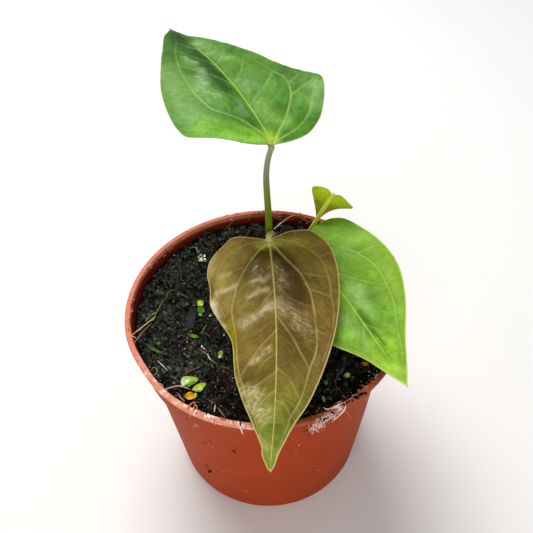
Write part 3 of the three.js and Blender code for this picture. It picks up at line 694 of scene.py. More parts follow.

# Leaves: each repeats the frame's blade, with fine veins, relief and colour. Outlines, veins and colour zones are
# in hundredths of the leaf's length as (across, along), seen from above with the tip ahead: right is positive.
# A vein is (side, width in mm, strength, points), a zone is (colour, strength, radius, grain, points).
# Some zones are painted sheen and some painted shade; each such zone is marked where it stands.
leaves = [
    {
        "name": "front", "slot": "leaf_bronze", "stalkSlot": "stalk",
        "length": 70.7, "base": (2, 8.7, 95.9), "heading": -84.6, "turn": -14.5,
        "slopes": (-11, -18, -31), "roll": (0, -12),
        "right": {"width": 1.01, "lift": (-4, -5.5), "bend": -25, "edge": [
            (8, -2.8), (15, -4.8), (19, -3.4), (26.9, 2.6), (29.7, 10), (29, 17), (29.1, 27), (25.3, 35.4),
            (19.8, 45.6), (18.2, 57), (17.2, 64), (12.9, 75.2), (7.7, 84.8), (4.5, 90.6), (3.9, 94), (1.9, 98)]},
        "left": {"width": 0.92, "lift": (-1, 1.5), "bend": -8, "edge": [
            (9.3, -3.6), (17.2, -4.2), (22, -2.8), (28, 4), (30.4, 13.2), (30, 26), (27, 42), (21.5, 58.4),
            (15, 72.4), (9.1, 81), (5.7, 87.6), (3.3, 92.5), (1.8, 97)]},
        "stalk": [(3.4, 10.9, 70), (3.6, 11.8, 84), (3.5, 12.2, 92), (3.0, 11.7, 95.4), (2.2, 10.2, 96.2)],
        "stalkUnder": [(0, 0.75), (2, 0.85), (5, 0.6), (10, 0.35)],
        "stalkRadii": [1.5, 1.3, 1.05, 0.95, 0.9, 0.9, 1.0, 1.0, 0.85, 0.62, 0.5, 0.35, 0.2],
        "stalkColours": ["#8a8a3c", "#8f8c44", "#9a9a48", "#aeac5a", "#cac678", "#ecea9c", "#eeea84", "#d0cc60"],
        "veins": [
            (1, 0.42, 0.55, [(0, 0.5), (4.4, 1), (7.6, 0.4), (12.4, 1.4), (17.8, 3.4), (21.6, 6.2), (24.2, 10.2),
                             (25.6, 15.4), (26.2, 20), (25, 27), (22.5, 34)]),
            (1, 0.62, 1.0, [(0, 1), (1.4, 2.8), (4.4, 4.6), (8, 8.2), (11.2, 12.2), (14.2, 16.6), (16.2, 20.6),
                            (17.8, 25.8), (18.8, 29.2), (19.2, 33), (18.6, 37.6), (17.8, 42.8), (17.2, 50),
                            (16.4, 58.4), (15, 64), (12.5, 70), (10, 76), (7.5, 82), (4, 90)]),
            (1, 0.4, 0.7, [(0, 25), (4.4, 29.8), (7.8, 33.6), (11.2, 36.8), (15.4, 40.4), (18.1, 42.5)]),
            (1, 0.4, 0.7, [(0, 43.5), (3.8, 47.4), (7.4, 50.6), (10.6, 55), (13, 58.8), (15.4, 62.5)]),
            (1, 0.3, 0.5, [(0, 53.5), (4.2, 56), (7.2, 59)]),
            (1, 0.4, 0.7, [(0, 61), (3.4, 63.4), (6.2, 65.2), (8.4, 67.4), (11.4, 71.5)]),
            (1, 0.32, 0.55, [(0, 68.5), (3.2, 70.8), (5.4, 73.2), (8.8, 78.5)]),
            (1, 0.3, 0.5, [(0, 78), (3.2, 80.5), (6, 84.5)]),
            (1, 0.3, 0.6, [(12.6, 12.2), (16.4, 12.2), (21.6, 13), (24.4, 12.6)]),
            (1, 0.35, 0.75, [(16.4, 20.2), (21, 20.2), (25.2, 21.8)]),
            (1, 0.32, 0.65, [(19, 28.6), (22.8, 29.8)]),
            (-1, 0.42, 0.6, [(0, 0.5), (4.2, 0.4), (8.2, 1.2), (12, 3.2), (15.8, 5.6), (19.4, 9.2), (21.6, 13),
                             (23, 17.6), (23.6, 22.8), (23.6, 28.4), (24, 34), (23.8, 38.8), (22.8, 43.6),
                             (21, 50), (18.5, 57)]),
            (-1, 0.62, 1.0, [(0, 1), (0.8, 2), (2.8, 5.2), (6.2, 10.6), (9.4, 15), (11.8, 18.8), (13.6, 23.4),
                             (14.8, 27), (15.6, 32.4), (16, 37), (16.2, 42.6), (16.4, 48.6), (15.6, 54.2),
                             (13.4, 60), (11.8, 66.2), (10, 72), (8.4, 75.2), (6.2, 79), (5.4, 82.2), (4, 86.2),
                             (1.5, 94)]),
            (-1, 0.42, 0.8, [(0, 36.5), (2.2, 40), (4, 43), (6.6, 47.2), (9, 52.2), (11.2, 56.4), (13.2, 60.4)]),
            (-1, 0.32, 0.6, [(0, 59.5), (2.8, 61.6), (5.4, 64.2), (9.8, 72.4)]),
            (-1, 0.3, 0.5, [(0, 72.5), (3.6, 74), (6.4, 78.6)]),
            (-1, 0.28, 0.4, [(0, 22), (4, 27), (8, 31), (15.4, 34)]),
            (-1, 0.3, 0.65, [(11.8, 18), (16, 19), (22.8, 20.6)]),
            (-1, 0.32, 0.7, [(14.6, 26), (18.4, 27.4), (23.6, 29.4)]),
            (-1, 0.3, 0.6, [(16.6, 44.2), (21.8, 47.4)]),
            (-1, 0.28, 0.55, [(17, 5.8), (20.4, 4)]),
            (-1, 0.28, 0.55, [(20.8, 10.4), (25.8, 8.4)]),
        ],
        "skin": {
            "colour": "#7a6020", "under": "#8f9250", "vein": "#bcaa5e", "edge": "#d8c67c", "midrib": "#d6c478",
            "sheenPaint": "#cfbe90", "sheenPaintBase": 0.04, "netStrength": 0.1, "streaks": 0.26, "veinWidth": 0.39,
            "midribWidth": 0.5, "gloss": 0.42,
            "pucker": 0.8, "veinFade": 0.5, "ribEnd": 0.95, "hem": 0.5,
        },
        "zones": [
            ("#769428", 0.95, 15, 0, [(0, 95), (0, 100)]),
            ("#767f2e", 0.7, 18, 0, [(0, 78), (0, 90)]),
            ("#ac9850", 0.85, 11, 0.25, [(26, 8), (27, 16), (24, 24)]),
            ("#a38a40", 0.7, 7, 0.3, [(18, 2), (23, 5)]),
            ("#8b7839", 0.65, 8, 0.3, [(14, 30), (13, 44), (12, 56)]),
            ("#857626", 0.75, 7, 0.1, [(-13, 8), (-9, 4)]),
            ("#6f6226", 0.5, 8, 0, [(-18, 12), (-21, 20)]),
            ("#443310", 0.92, 4.6, 0.1, [(-2.2, 6), (-5.4, 13), (-8.6, 20), (-11.2, 27)]),
            ("#4a3710", 0.9, 4.2, 0.15, [(-6, 28), (-11, 31.5)]),
            ("#4a3a0c", 0.9, 3.6, 0.1, [(3, 5), (5.2, 9), (7.6, 13)]),
            ("#7c6b30", 0.5, 5, 0.2, [(9, 16), (10, 22)]),
            ("#463204", 0.9, 3.4, 0.1, [(-4.6, 43), (-8, 49), (-11, 55)]),
            ("#5c4716", 0.6, 5, 0.3, [(4, 62), (9, 66), (10, 58)]),
            ("#6a5824", 0.5, 6, 0.2, [(-4, 64), (-9, 60)]),
            ("#4f450e", 0.5, 3, 0.2, [(10.6, 78), (8.6, 84)]),
            # painted highlight: pale sheen patches in the next seven zones, broken into flecks by their grain
            ("#73673c", 0.85, 3.0, 0.7, [(-1.6, 14), (-3.2, 19), (-4.6, 23)]),
            ("#877648", 0.9, 2.6, 0.9, [(7.2, 13), (6, 17)]),
            ("#cdbd92", 0.95, 1.6, 0.75, [(8.8, 21.2), (5.8, 20), (3.4, 19.4)]),
            ("#c3b184", 0.95, 1.5, 0.7, [(10.4, 26), (6.6, 25.2), (3.2, 24.8)]),
            ("#cdbb8c", 0.95, 2.3, 0.75, [(14, 38.8), (9.4, 36.4), (5, 35.2), (1.2, 32.8)]),
            ("#a48f62", 0.85, 3.6, 0.85, [(-1.6, 32), (-4.6, 35.6), (-7.4, 38.6), (-9.6, 41)]),
            ("#9a8450", 0.6, 3, 0.9, [(-10, 41), (-13, 46)]),
            # painted highlight: a pinkish-white glint along the left lobe's margin and a light band beside it
            ("#e8d6ba", 1.0, 2.0, 0.2, [(29, 25.4), (27.2, 30), (25.4, 34.4), (23.6, 37)]),
            ("#d8c490", 0.95, 1.3, 0.4, [(25, 21.8), (21, 21), (17, 20.4)]),
            ("#c0a268", 0.7, 3.4, 0.3, [(27, 2.6), (28.6, 7)]),
            # painted shade: a dark strip in the bay of the margin
            ("#70560e", 0.8, 1.3, 0.1, [(29.4, 15.4), (28.4, 19.6), (28.6, 22.4)]),
            # painted highlight: a light patch on the left lobe
            ("#c0aa70", 0.85, 1.2, 0.5, [(22.5, 14), (18, 13)]),
            # painted highlight: pale sheen patches in the next four zones
            ("#ab9760", 0.85, 1.5, 0.9, [(10.6, 56.4), (7.8, 54.8), (5.2, 53), (2.6, 51.8)]),
            ("#aea064", 0.9, 3.0, 0.95, [(14.2, 69), (11, 68.4), (7.4, 70.6)]),
            ("#a8a05a", 0.85, 3.2, 0.95, [(9.4, 74.4), (6.8, 76.4), (5, 79.4)]),
            ("#a8a450", 0.8, 2.0, 0.9, [(5.6, 88.6), (3, 90.4)]),
            # painted light: a yellow-olive glow of light through the folded strip by the margin
            ("#8a7a02", 0.95, 1.8, 0, [(22.6, 34.5), (20.8, 39.4), (19, 45), (18.2, 51), (17.8, 56), (17.4, 61)]),
            ("#a39c4a", 0.5, 1.2, 0.3, [(17.4, 62), (15, 70)]),
            ("#b4a848", 0.75, 2.6, 0, [(0, 1), (-4.4, 1.8), (4.4, 1.4)]),
            ("#c8c434", 0.75, 1.3, 0, [(3, 4), (0, 0.5), (-2.6, 4)]),
            ("#a89a40", 0.6, 3, 0, [(-8, 1.4), (-14, 2.6)]),
            ("#f4ec9c", 1.0, 1.0, 0, [(0, -0.4), (0, 2.6)]),
            ("#5e4c14", 0.6, 7, 0.2, [(-5, 42), (-9, 52)]),
            ("#574c10", 0.9, 0.9, 0.4, [(-6.4, 76.6), (-6.6, 79.4), (-7.6, 81.8)]),
        ],
    },
    {
        "name": "upper", "slot": "leaf_green", "stalkSlot": "stalk",
        "length": 72.9, "base": (3.7, 9.6, 131.8), "heading": 115.5, "turn": 2.6,
        "slopes": (21, -3, -9), "roll": (-11, -3),
        "right": {"width": 1.09, "lift": (5, -20), "bend": 8, "edge": [
            (5.2, -0.6), (9.1, -0.8), (12.5, -0.3), (16, 1), (19.6, 3.5), (22.6, 6.3), (25.5, 10.3), (28.7, 15.6),
            (31.1, 20.8), (31.9, 24.4), (30.1, 28.4), (27.4, 32.9), (23.6, 39.1), (20.1, 49.5), (16.8, 61),
            (14.6, 71.8), (12, 80.1), (7.2, 84.4), (2.6, 86.2), (1, 90.5)]},
        "left": {"width": 1.02, "lift": (18.5, 4), "bend": -40, "edge": [
            (5.7, 0.6), (10.5, 1.7), (14.6, 3.6), (19.1, 5.9), (24.2, 8.4), (28.3, 10.6), (30.3, 12.2), (31.3, 14.9),
            (31.8, 19.6), (31.3, 25.9), (30, 33.3), (27.6, 41.9), (23.3, 52.4), (17.9, 64.9), (12.7, 77),
            (7.9, 87.1), (3.8, 93.7)]},
        "stalk": [(2, 14.9, 70), (2.2, 14.7, 86), (2.1, 13.8, 102), (1.8, 12.6, 113), (1.8, 11.6, 120),
                  (2.4, 10.6, 126), (3.1, 9.9, 129.4)],
        "stalkUnder": [(0, 0.9), (2, 0.85), (6, 0.6), (12, 0.35)],
        "stalkRadii": [1.6, 1.4, 1.15, 1.05, 0.98, 0.92, 0.86, 0.82, 0.8, 0.84, 0.9, 0.75, 0.55, 0.4, 0.2],
        "stalkColours": ["#6f8a1c", "#66840c", "#66840c", "#7a882e", "#888c68", "#949880", "#949a7e", "#98a06c",
                         "#9ab434", "#b8d038", "#bcd43c"],
        "veins": [
            (-1, 0.6, 1.0, [(0, 1), (2, 5), (4.6, 8.2), (8.6, 12.8), (13.2, 17), (16.4, 19.8), (17.8, 24.4),
                            (18.6, 30.8), (18.2, 38.4), (17, 46.6), (14.4, 57), (11, 67.4), (6.4, 77.2), (3, 88)]),
            (-1, 0.45, 0.3, [(0, 0.5), (3, 2.4), (8.4, 4), (14.2, 7.6), (18.8, 11), (24.4, 14.6)]),
            (-1, 0.38, 0.55, [(0, 20), (6, 26), (12, 32), (18.2, 38)]),
            (-1, 0.38, 0.55, [(0, 34), (5, 40), (11, 47), (15.4, 54)]),
            (-1, 0.34, 0.5, [(0, 50), (5, 57), (10.5, 68)]),
            (-1, 0.3, 0.45, [(0, 66), (3.5, 71), (6, 78)]),
            (1, 0.6, 1.0, [(0, 1), (2, 1.8), (5.8, 5.6), (10.4, 9.8), (14.4, 14.4), (18.4, 20), (20.8, 26.4),
                           (21.2, 31.8), (19.4, 37.2), (18, 44.2), (15.4, 51.4), (12.5, 61)]),
            (1, 0.45, 0.8, [(0, 0.5), (2.2, 1.2), (10, 3), (16.2, 5.8), (21.6, 10.2), (24.8, 14.4), (27.8, 18.4)]),
            (1, 0.36, 0.7, [(18.4, 20), (25.2, 22.6), (31, 24.4)]),
            (1, 0.34, 0.65, [(20.8, 26.4), (27, 30)]),
            (1, 0.38, 0.6, [(0, 20.2), (6.8, 25.6), (13.8, 31.2), (19.4, 37.2)]),
            (1, 0.38, 0.55, [(0, 34.5), (7.2, 42.2), (12.5, 50.8)]),
            (1, 0.3, 0.45, [(0, 50), (5, 57), (11, 66)]),
        ],
        "skin": {
            "colour": "#4e8228", "under": "#7da65a", "vein": "#90bc58", "edge": "#7fa64c", "midrib": "#a4d054",
            "sheenPaint": "#94b87c", "sheenPaintBase": 0.03, "netStrength": 0.1, "streaks": 0.14, "veinWidth": 0.46,
            "midribWidth": 0.65, "gloss": 0.4,
            "pucker": 0.9, "veinFade": 0.95, "ribEnd": 0.64, "hem": 0.4,
        },
        "zones": [
            ("#6a8f3c", 0.5, 9, 0.2, [(-20, 30), (-18, 50), (-22, 40)]),
            ("#5f8a34", 0.5, 9, 0.3, [(6, 52), (10, 40), (8, 30)]),
            ("#4f7a2a", 0.55, 6, 0.3, [(12, 64), (18, 44), (22, 32)]),
            # painted sheen: the hazy pale grey-green on the outer left half
            ("#84ae66", 0.45, 8, 0.3, [(-24, 22), (-26, 36), (-22, 52)]),
            ("#8cc842", 0.9, 4.8, 0.15, [(-6, 2.5), (-16, 6.5), (-24, 10)]),
            ("#4e8a14", 0.7, 2.2, 0.2, [(-9, 5), (-15, 8.5), (-20, 10.5)]),
            # painted shade in the next five zones: the left half near the tip and along the midrib, which turns away
            # from the light
            ("#3c6820", 0.9, 5.5, 0.1, [(-3, 96), (-6, 86), (-8, 78)]),
            ("#42702a", 0.85, 4.6, 0.15, [(-5, 93), (-10, 84), (-15, 74), (-18, 64)]),
            ("#2c5016", 0.94, 4.4, 0.1, [(-3.4, 88), (-4.8, 74), (-5.6, 62), (-5.6, 50), (-5.4, 42), (-6.2, 32)]),
            ("#27461a", 0.85, 2.8, 0, [(-1.2, 92), (-2.6, 78), (-3.2, 62), (-3.4, 48), (-3.6, 38)]),
            ("#2c4c18", 0.8, 0.9, 0.3, [(-5, 76), (-7.4, 60), (-8, 48), (-7.6, 36)]),
            ("#3c6620", 0.9, 1.1, 0.1, [(-7.6, 28), (-6.8, 22), (-5.8, 16), (-5, 10)]),
            ("#3c6220", 0.75, 3.4, 0.2, [(-13, 66), (-14, 58), (-14.6, 50), (-13, 44)]),
            ("#90b86c", 0.6, 5, 0.3, [(27, 13), (30, 20)]),
            ("#4c7c28", 0.6, 3.4, 0.3, [(27, 26), (24, 33)]),
            # painted highlight: grey-green sheen patches in the next six zones
            ("#86a878", 0.8, 2.2, 0.8, [(-9.4, 46), (-11.6, 41), (-12.6, 36)]),
            ("#7ea06c", 0.8, 2.4, 0.8, [(-14.6, 32), (-12.6, 27)]),
            ("#7b9c68", 0.85, 1.8, 0.5, [(-5.2, 22), (-5.6, 15)]),
            ("#7c9c70", 0.8, 1.8, 0.8, [(-9.6, 60), (-9.4, 53)]),
            ("#86ab6c", 0.6, 4, 0.7, [(3.4, 74), (4.4, 66), (5.6, 56)]),
            ("#7ea55c", 0.5, 4, 0.8, [(4.6, 36), (6, 30)]),
            ("#86b04c", 0.6, 4, 0.3, [(4, 20), (6, 12), (9, 8)]),
            ("#3f6e1c", 0.6, 2.6, 0.3, [(22, 34), (19, 42)]),
            ("#a4c83a", 0.9, 3.4, 0, [(0, 0.5), (0, 3)]),
            ("#c4d84a", 0.9, 1.4, 0, [(0, 0), (0, 2)]),
        ],
    },
    {
        "name": "right", "slot": "leaf_bright", "stalkSlot": "stalk",
        "length": 61.5, "base": (12, 17.1, 86), "heading": -62, "turn": -2.5,
        "slopes": (7.5, -7, -3.5), "roll": (-2, -9),
        "right": {"width": 1.01, "lift": (5, 10), "bend": -13, "edge": [
            (7, 0.5), (15, 4), (23, 6), (28.5, 14), (30.5, 26), (28, 42.5), (21.5, 61.5), (10.5, 77.5), (3.5, 92)]},
        "left": {"width": 1.14, "lift": (11.5, 14), "bend": -9.5, "edge": [
            (14.5, -4.5), (23.5, 0.5), (27.5, 13), (29.5, 26), (28.5, 42.5), (21.5, 61), (11.5, 78.5), (4, 93)]},
        "stalk": [(5.9, 12.9, 70), (7.7, 15.8, 77.4), (9.8, 18.6, 82.2), (10.9, 19.5, 84.9), (11.4, 18.8, 85.8)],
        "stalkUnder": [(0, 0.5), (2, 0.75), (5, 0.6), (10, 0.35)],
        "stalkRadii": [1.4, 1.2, 0.95, 0.88, 0.85, 0.9, 1.0, 1.0, 0.85, 0.6, 0.4, 0.2],
        "stalkColours": ["#7d9440", "#86a040", "#93ab44", "#a3b84c"],
        "veins": [
            (-1, 0.6, 1.0, [(0, 1), (4.5, 4), (8.6, 8), (12, 12.5), (14.8, 18.2), (18, 23.6), (19.8, 28),
                            (21.6, 34.4), (22.2, 41.2), (21, 48.2), (19.6, 54.8), (17.8, 61), (15.2, 66.4),
                            (12.6, 71.6), (9.2, 79.8), (6, 86.4), (2.5, 94)]),
            (-1, 0.4, 0.5, [(0, 0.5), (6, 0), (12, 4), (18, 9), (23, 11.5), (26.5, 16), (27, 24)]),
            (-1, 0.4, 0.8, [(20.2, 26.4), (25, 27), (29.4, 26.8)]),
            (-1, 0.42, 0.85, [(0, 27), (5, 31.6), (9.6, 38.4), (14.6, 44.8), (20, 50)]),
            (-1, 0.36, 0.5, [(0, 45), (4.5, 52), (10, 60), (14.8, 67)]),
            (-1, 0.32, 0.45, [(0, 62), (4, 68), (9.4, 79)]),
            (1, 0.55, 0.8, [(0, 1), (6, 8), (12, 16), (17.5, 26), (20.5, 37), (21.5, 48), (20.5, 58), (18, 66),
                            (12.8, 71.8), (9.2, 76.4), (6.6, 82.2), (2.5, 93)]),
            (1, 0.36, 0.5, [(0, 26), (6, 33), (13, 40), (21, 48)]),
            (1, 0.36, 0.5, [(0, 44), (5, 51), (12, 58), (18.5, 65)]),
            (1, 0.3, 0.45, [(0, 62), (4, 67), (9, 76)]),
        ],
        "skin": {
            "colour": "#80ae2c", "under": "#8fbb5a", "vein": "#a4d058", "edge": "#c2da58", "midrib": "#b8e05c",
            "sheenPaint": "#a8d07c", "sheenPaintBase": 0.03, "netStrength": 0.1, "streaks": 0.1, "veinWidth": 0.42,
            "midribWidth": 0.6, "gloss": 0.38,
            "pucker": 0.9, "veinFade": 0.6, "ribEnd": 0.76, "hem": 0.5,
        },
        "zones": [
            ("#6a9c24", 0.5, 4.0, 0.1, [(-12, 3), (-19, 5)]),
            # painted highlight: sheen on the top lobe
            ("#9cc84c", 0.65, 6, 0.3, [(-14, 12), (-22, 14), (-10, 18)]),
            ("#64961a", 0.65, 6, 0.1, [(-12, 26), (-15, 36), (-14, 44)]),
            # painted highlight: sheen patches in the next three zones
            ("#7eae48", 0.6, 3.6, 0.5, [(-5, 22), (-7, 32), (-7, 42)]),
            ("#88b858", 0.5, 3.0, 0.6, [(-15.2, 19), (-15, 25)]),
            ("#9cc878", 0.75, 4.2, 0.5, [(-6.4, 44), (-6.4, 57)]),
            ("#7fae3c", 0.6, 7, 0.3, [(-15, 0), (-24, 9), (-27, 20)]),
            ("#86b060", 0.6, 3, 0.6, [(3, 66), (6, 56), (5, 74)]),
            # painted shade in the next three zones: the dark crease beside the midrib
            ("#4a861c", 0.8, 2.3, 0.2, [(-1.2, 56), (-1.6, 62), (-1.4, 68)]),
            ("#4a7e08", 0.92, 1.2, 0.1, [(-0.2, 55), (-1.0, 59), (-2.2, 63.6)]),
            ("#4c7a08", 0.95, 0.8, 0, [(-2.8, 64.6), (-2.7, 70.6), (-2.4, 76.4)]),
            ("#4f8a1e", 0.65, 3.4, 0.3, [(-12, 60), (-10, 67), (-12, 52)]),
            ("#8cb030", 0.6, 5, 0.2, [(-28, 30), (-28, 42), (-24, 54)]),
            ("#9cc23c", 0.7, 4.5, 0.2, [(6, 84), (0, 92), (0, 100)]),
            ("#a8c84c", 0.8, 2.0, 0.2, [(0, 90), (0, 100)]),
            ("#7aa83c", 0.5, 4, 0.5, [(14, 66), (10, 74)]),
            ("#8c8a50", 0.9, 0.8, 0.2, [(-22.4, -2.6), (-21.6, -1.4)]),
        ],
    },
    {
        "name": "small", "slot": "leaf_young", "stalkSlot": "young_stalk",
        "length": 25, "base": (23.2, 26, 98.3), "heading": 107, "turn": 5.5,
        "slopes": (-65, -60, -74), "roll": (-44.5, -7),
        "right": {"width": 0.99, "lift": (0, 20), "bend": 0.01, "edge": [
            (10.5, -7), (22.5, 1), (31.5, 13), (31, 25), (25.5, 40.5), (18, 59), (10, 78), (3.5, 93)]},
        "left": {"width": 0.83, "lift": (11, 28), "bend": 0.01, "edge": [
            (10.5, -3.5), (23, 2.5), (33.5, 13), (31, 24), (23, 39), (14.5, 57.5), (7, 77), (3, 93)]},
        "stalk": [(4.9, 16.6, 70), (8.6, 20.6, 75.8), (14.3, 23.5, 81.4), (19.8, 25.2, 91.9)],
        "stalkUnder": [(0, 0.5), (2, 0.45), (5, 0.4), (10, 0.3)],
        "stalkRadii": [1.35, 1.1, 0.85, 0.78, 0.72, 0.68, 0.65, 0.62, 0.5, 0.35, 0.22],
        "stalkColours": ["#bcc84c", "#d0dc48", "#e0ea4c", "#e6f04c", "#e0ec4c"],
        "veins": [
            (1, 0.3, 0.8, [(0, 1), (8, 6), (15, 14), (19, 26), (18, 42), (12, 62), (6, 80)]),
            (-1, 0.3, 0.8, [(0, 1), (8, 6), (15, 14), (19, 26), (17, 42), (11, 62), (5, 80)]),
            (1, 0.24, 0.5, [(0, 30), (8, 40), (15, 50)]),
            (-1, 0.24, 0.5, [(0, 30), (8, 40), (14, 50)]),
        ],
        # painted light: both colours are painted lighter than the leaf's own, making up for the shade on its
        # underside
        "skin": {
            "colour": "#b4cc34", "under": "#e0f018", "vein": "#d8e05c", "edge": "#b8cc30", "midrib": "#d8e264",
            "sheenPaint": "#e8f070", "sheenPaintBase": 0.05, "netStrength": 0.14, "streaks": 0.12, "veinWidth": 0.4,
            "midribWidth": 0.5, "gloss": 0.5,
            "pucker": 0.5, "veinFade": 0.5, "ribEnd": 0.95, "hem": 0.5,
        },
        "zones": [
            ("#c4d03c", 0.7, 7, 0, [(0, 0), (0, 5)]),
            ("#6f8c10", 0.5, 9, 0.2, [(24, 12), (26, 24)]),
            ("#5a5a1c", 0.9, 2.2, 0.3, [(20, 14), (21, 16)]),
            ("#585416", 0.9, 1.8, 0.3, [(9, 32), (10, 34)]),
            ("#6a641a", 0.8, 2.0, 0.3, [(-22, 10), (-24, 13)]),
        ],
    },
]
bladeShape = {
    "bigFrom": 40.0,  # length of a big leaf
    "big": {"rows": 280, "columns": 90, "relief": 1.0},
    "small": {"rows": 100, "columns": 30, "relief": 0.35},
    "undersideStep": 3,
    "thickness": 0.36,
    "midribSteps": 48,
    "lobeShare": 0.2,
    "halfWidthShare": 0.3,
    "swell": 0.42,
    "swellReach": 2.4,
    "puckers": ((0.10, 2.3, 31), (0.06, 1.2, 32), (0.16, 6.0, 33)),  # amount, spacing, seed
    "ripple": 0.35,
    "veinDip": 0.16,
    "veinKeel": 0.22,
    "ribKeel": 0.55,
    "ribRidge": 0.10,
    "underOffset": 40,  # the underside's pattern lies this far from the upper side's
}


def midribFrames(leaf):
    # heading and slope along the midrib, summed step by step; the slope is the quadratic through its three values
    steps = bladeShape["midribSteps"]
    share = np.arange(steps + 1) / steps
    start, middle, end = leaf["slopes"]
    slope = start * (1 - share) * (1 - 2 * share) + 4 * middle * share * (1 - share) + end * share * (2 * share - 1)
    slope, heading = np.radians(slope), np.radians(leaf["heading"] + leaf["turn"] * share)
    ahead = np.stack([np.cos(heading) * np.cos(slope), np.sin(heading) * np.cos(slope), np.sin(slope)], -1)
    level = np.stack([np.sin(heading), -np.cos(heading), 0 * heading], -1)
    roll = -np.radians(leaf["roll"][0] + (leaf["roll"][1] - leaf["roll"][0]) * share)[:, None]
    side = level * np.cos(roll) + np.cross(ahead, level) * np.sin(roll)
    run = np.vstack([np.zeros(3), np.cumsum(ahead[:-1] * leaf["length"] / steps, axis=0)])
    return np.array(leaf["base"]) + run, ahead, side, np.cross(side, ahead)


def bladePoints(leaf, across, along):
    # the blade's middle surface: each half leaves the midrib at its lift angle and bends on evenly:
    # out = (sin(lift + bend x) - sin lift) / bend, rise = (cos lift - cos(lift + bend x)) / bend
    frames = midribFrames(leaf)
    steps = bladeShape["midribSteps"]
    share = along / leaf["length"]
    inside = np.clip(share, 0, 1)
    low = np.minimum((inside * steps).astype(int), steps - 1)
    part = (inside * steps - low)[..., None]
    point, ahead, side, up = (values[low] * (1 - part) + values[low + 1] * part for values in frames)
    point = point + ahead * np.minimum(along, 0)[..., None]
    isLeft = across < 0
    lifts = [np.where(isLeft, leaf["left"]["lift"][i], leaf["right"]["lift"][i]) for i in (0, 1)]
    lift = np.radians(lifts[0] + (lifts[1] - lifts[0]) * inside**2)
    bend = np.radians(np.where(isLeft, leaf["left"]["bend"], leaf["right"]["bend"]))
    bend = bend / (bladeShape["halfWidthShare"] * leaf["length"])
    reach = np.abs(across)
    out = (np.sin(lift + bend * reach) - np.sin(lift)) / bend
    rise = (np.cos(lift) - np.cos(lift + bend * reach)) / bend
    return point + side * (np.sign(across) * out)[..., None] + up * rise[..., None]


def bladeGrid(leaf, rows, columns):
    # flat grid of the leaf: each row runs from the left margin over the midrib to the right margin
    lobe = bladeShape["lobeShare"]
    start = np.clip((np.arange(rows + 1) / rows - lobe) / (1 - lobe), 0, 1)[:, None] * leaf["length"]
    cross = np.linspace(0, 1, columns + 1)[None]
    cross = 0.75 * cross + 0.25 * np.sin(cross * np.pi / 2)  # finer towards the margin
    halves = []
    for key, sign in (("left", -1), ("right", 1)):
        half = leaf[key]
        corners = np.array([(0, 0), *half["edge"], (0, 100)]) / 100 * leaf["length"]
        edge = smoothPath(corners * np.array([half["width"], 1]), rows)
        halves.append((sign * edge[:, :1] * cross, start + (edge[:, 1:] - start) * cross))
    return [np.hstack([left[:, ::-1], right[:, 1:]]) for left, right in zip(*halves)]


def distanceTo(points, line):
    # distance from many flat points to a polyline, and how far along the line the nearest place is, from 0 to 1
    nearest = np.full(len(points), 1e9)
    where = np.zeros(len(points))
    count = len(line) - 1
    for i, (a, b) in enumerate(zip(line[:-1], line[1:])):
        run = b - a
        t = np.clip(((points - a) @ run) / (run @ run + 1e-12), 0, 1)
        away = np.linalg.norm(points - a - t[:, None] * run, axis=1)
        closer = away < nearest
        nearest = np.where(closer, away, nearest)
        where = np.where(closer, (i + t) / count, where)
    return nearest, where


def veinField(leaf, flat):
    # strength of the veins and distance to the nearest one; a vein thins out and fades along its run
    strength = np.zeros(len(flat))
    nearest = np.full(len(flat), 50.0)
    unit = leaf["length"] / 100
    uneven = noiseSum(flat, 0.82, (0.3, 4.0, 61), (0.3, 1.1, 62))
    for side, width, force, points in leaf["veins"]:
        line = smoothPath(np.array(points, float) * np.array([side, 1]) * unit, 5 * len(points))
        away, where = distanceTo(flat, line)
        thin = leaf["skin"]["veinWidth"] * np.maximum(width * (1 - 0.5 * where), 0.66)
        fade = leaf["skin"]["veinFade"] if force > 0.95 else 0.35
        strength = np.maximum(strength, force * uneven * (1 - fade * where**2) * np.exp(-(away / thin)**2))
        nearest = np.minimum(nearest, away / force**0.5)
    return strength, nearest


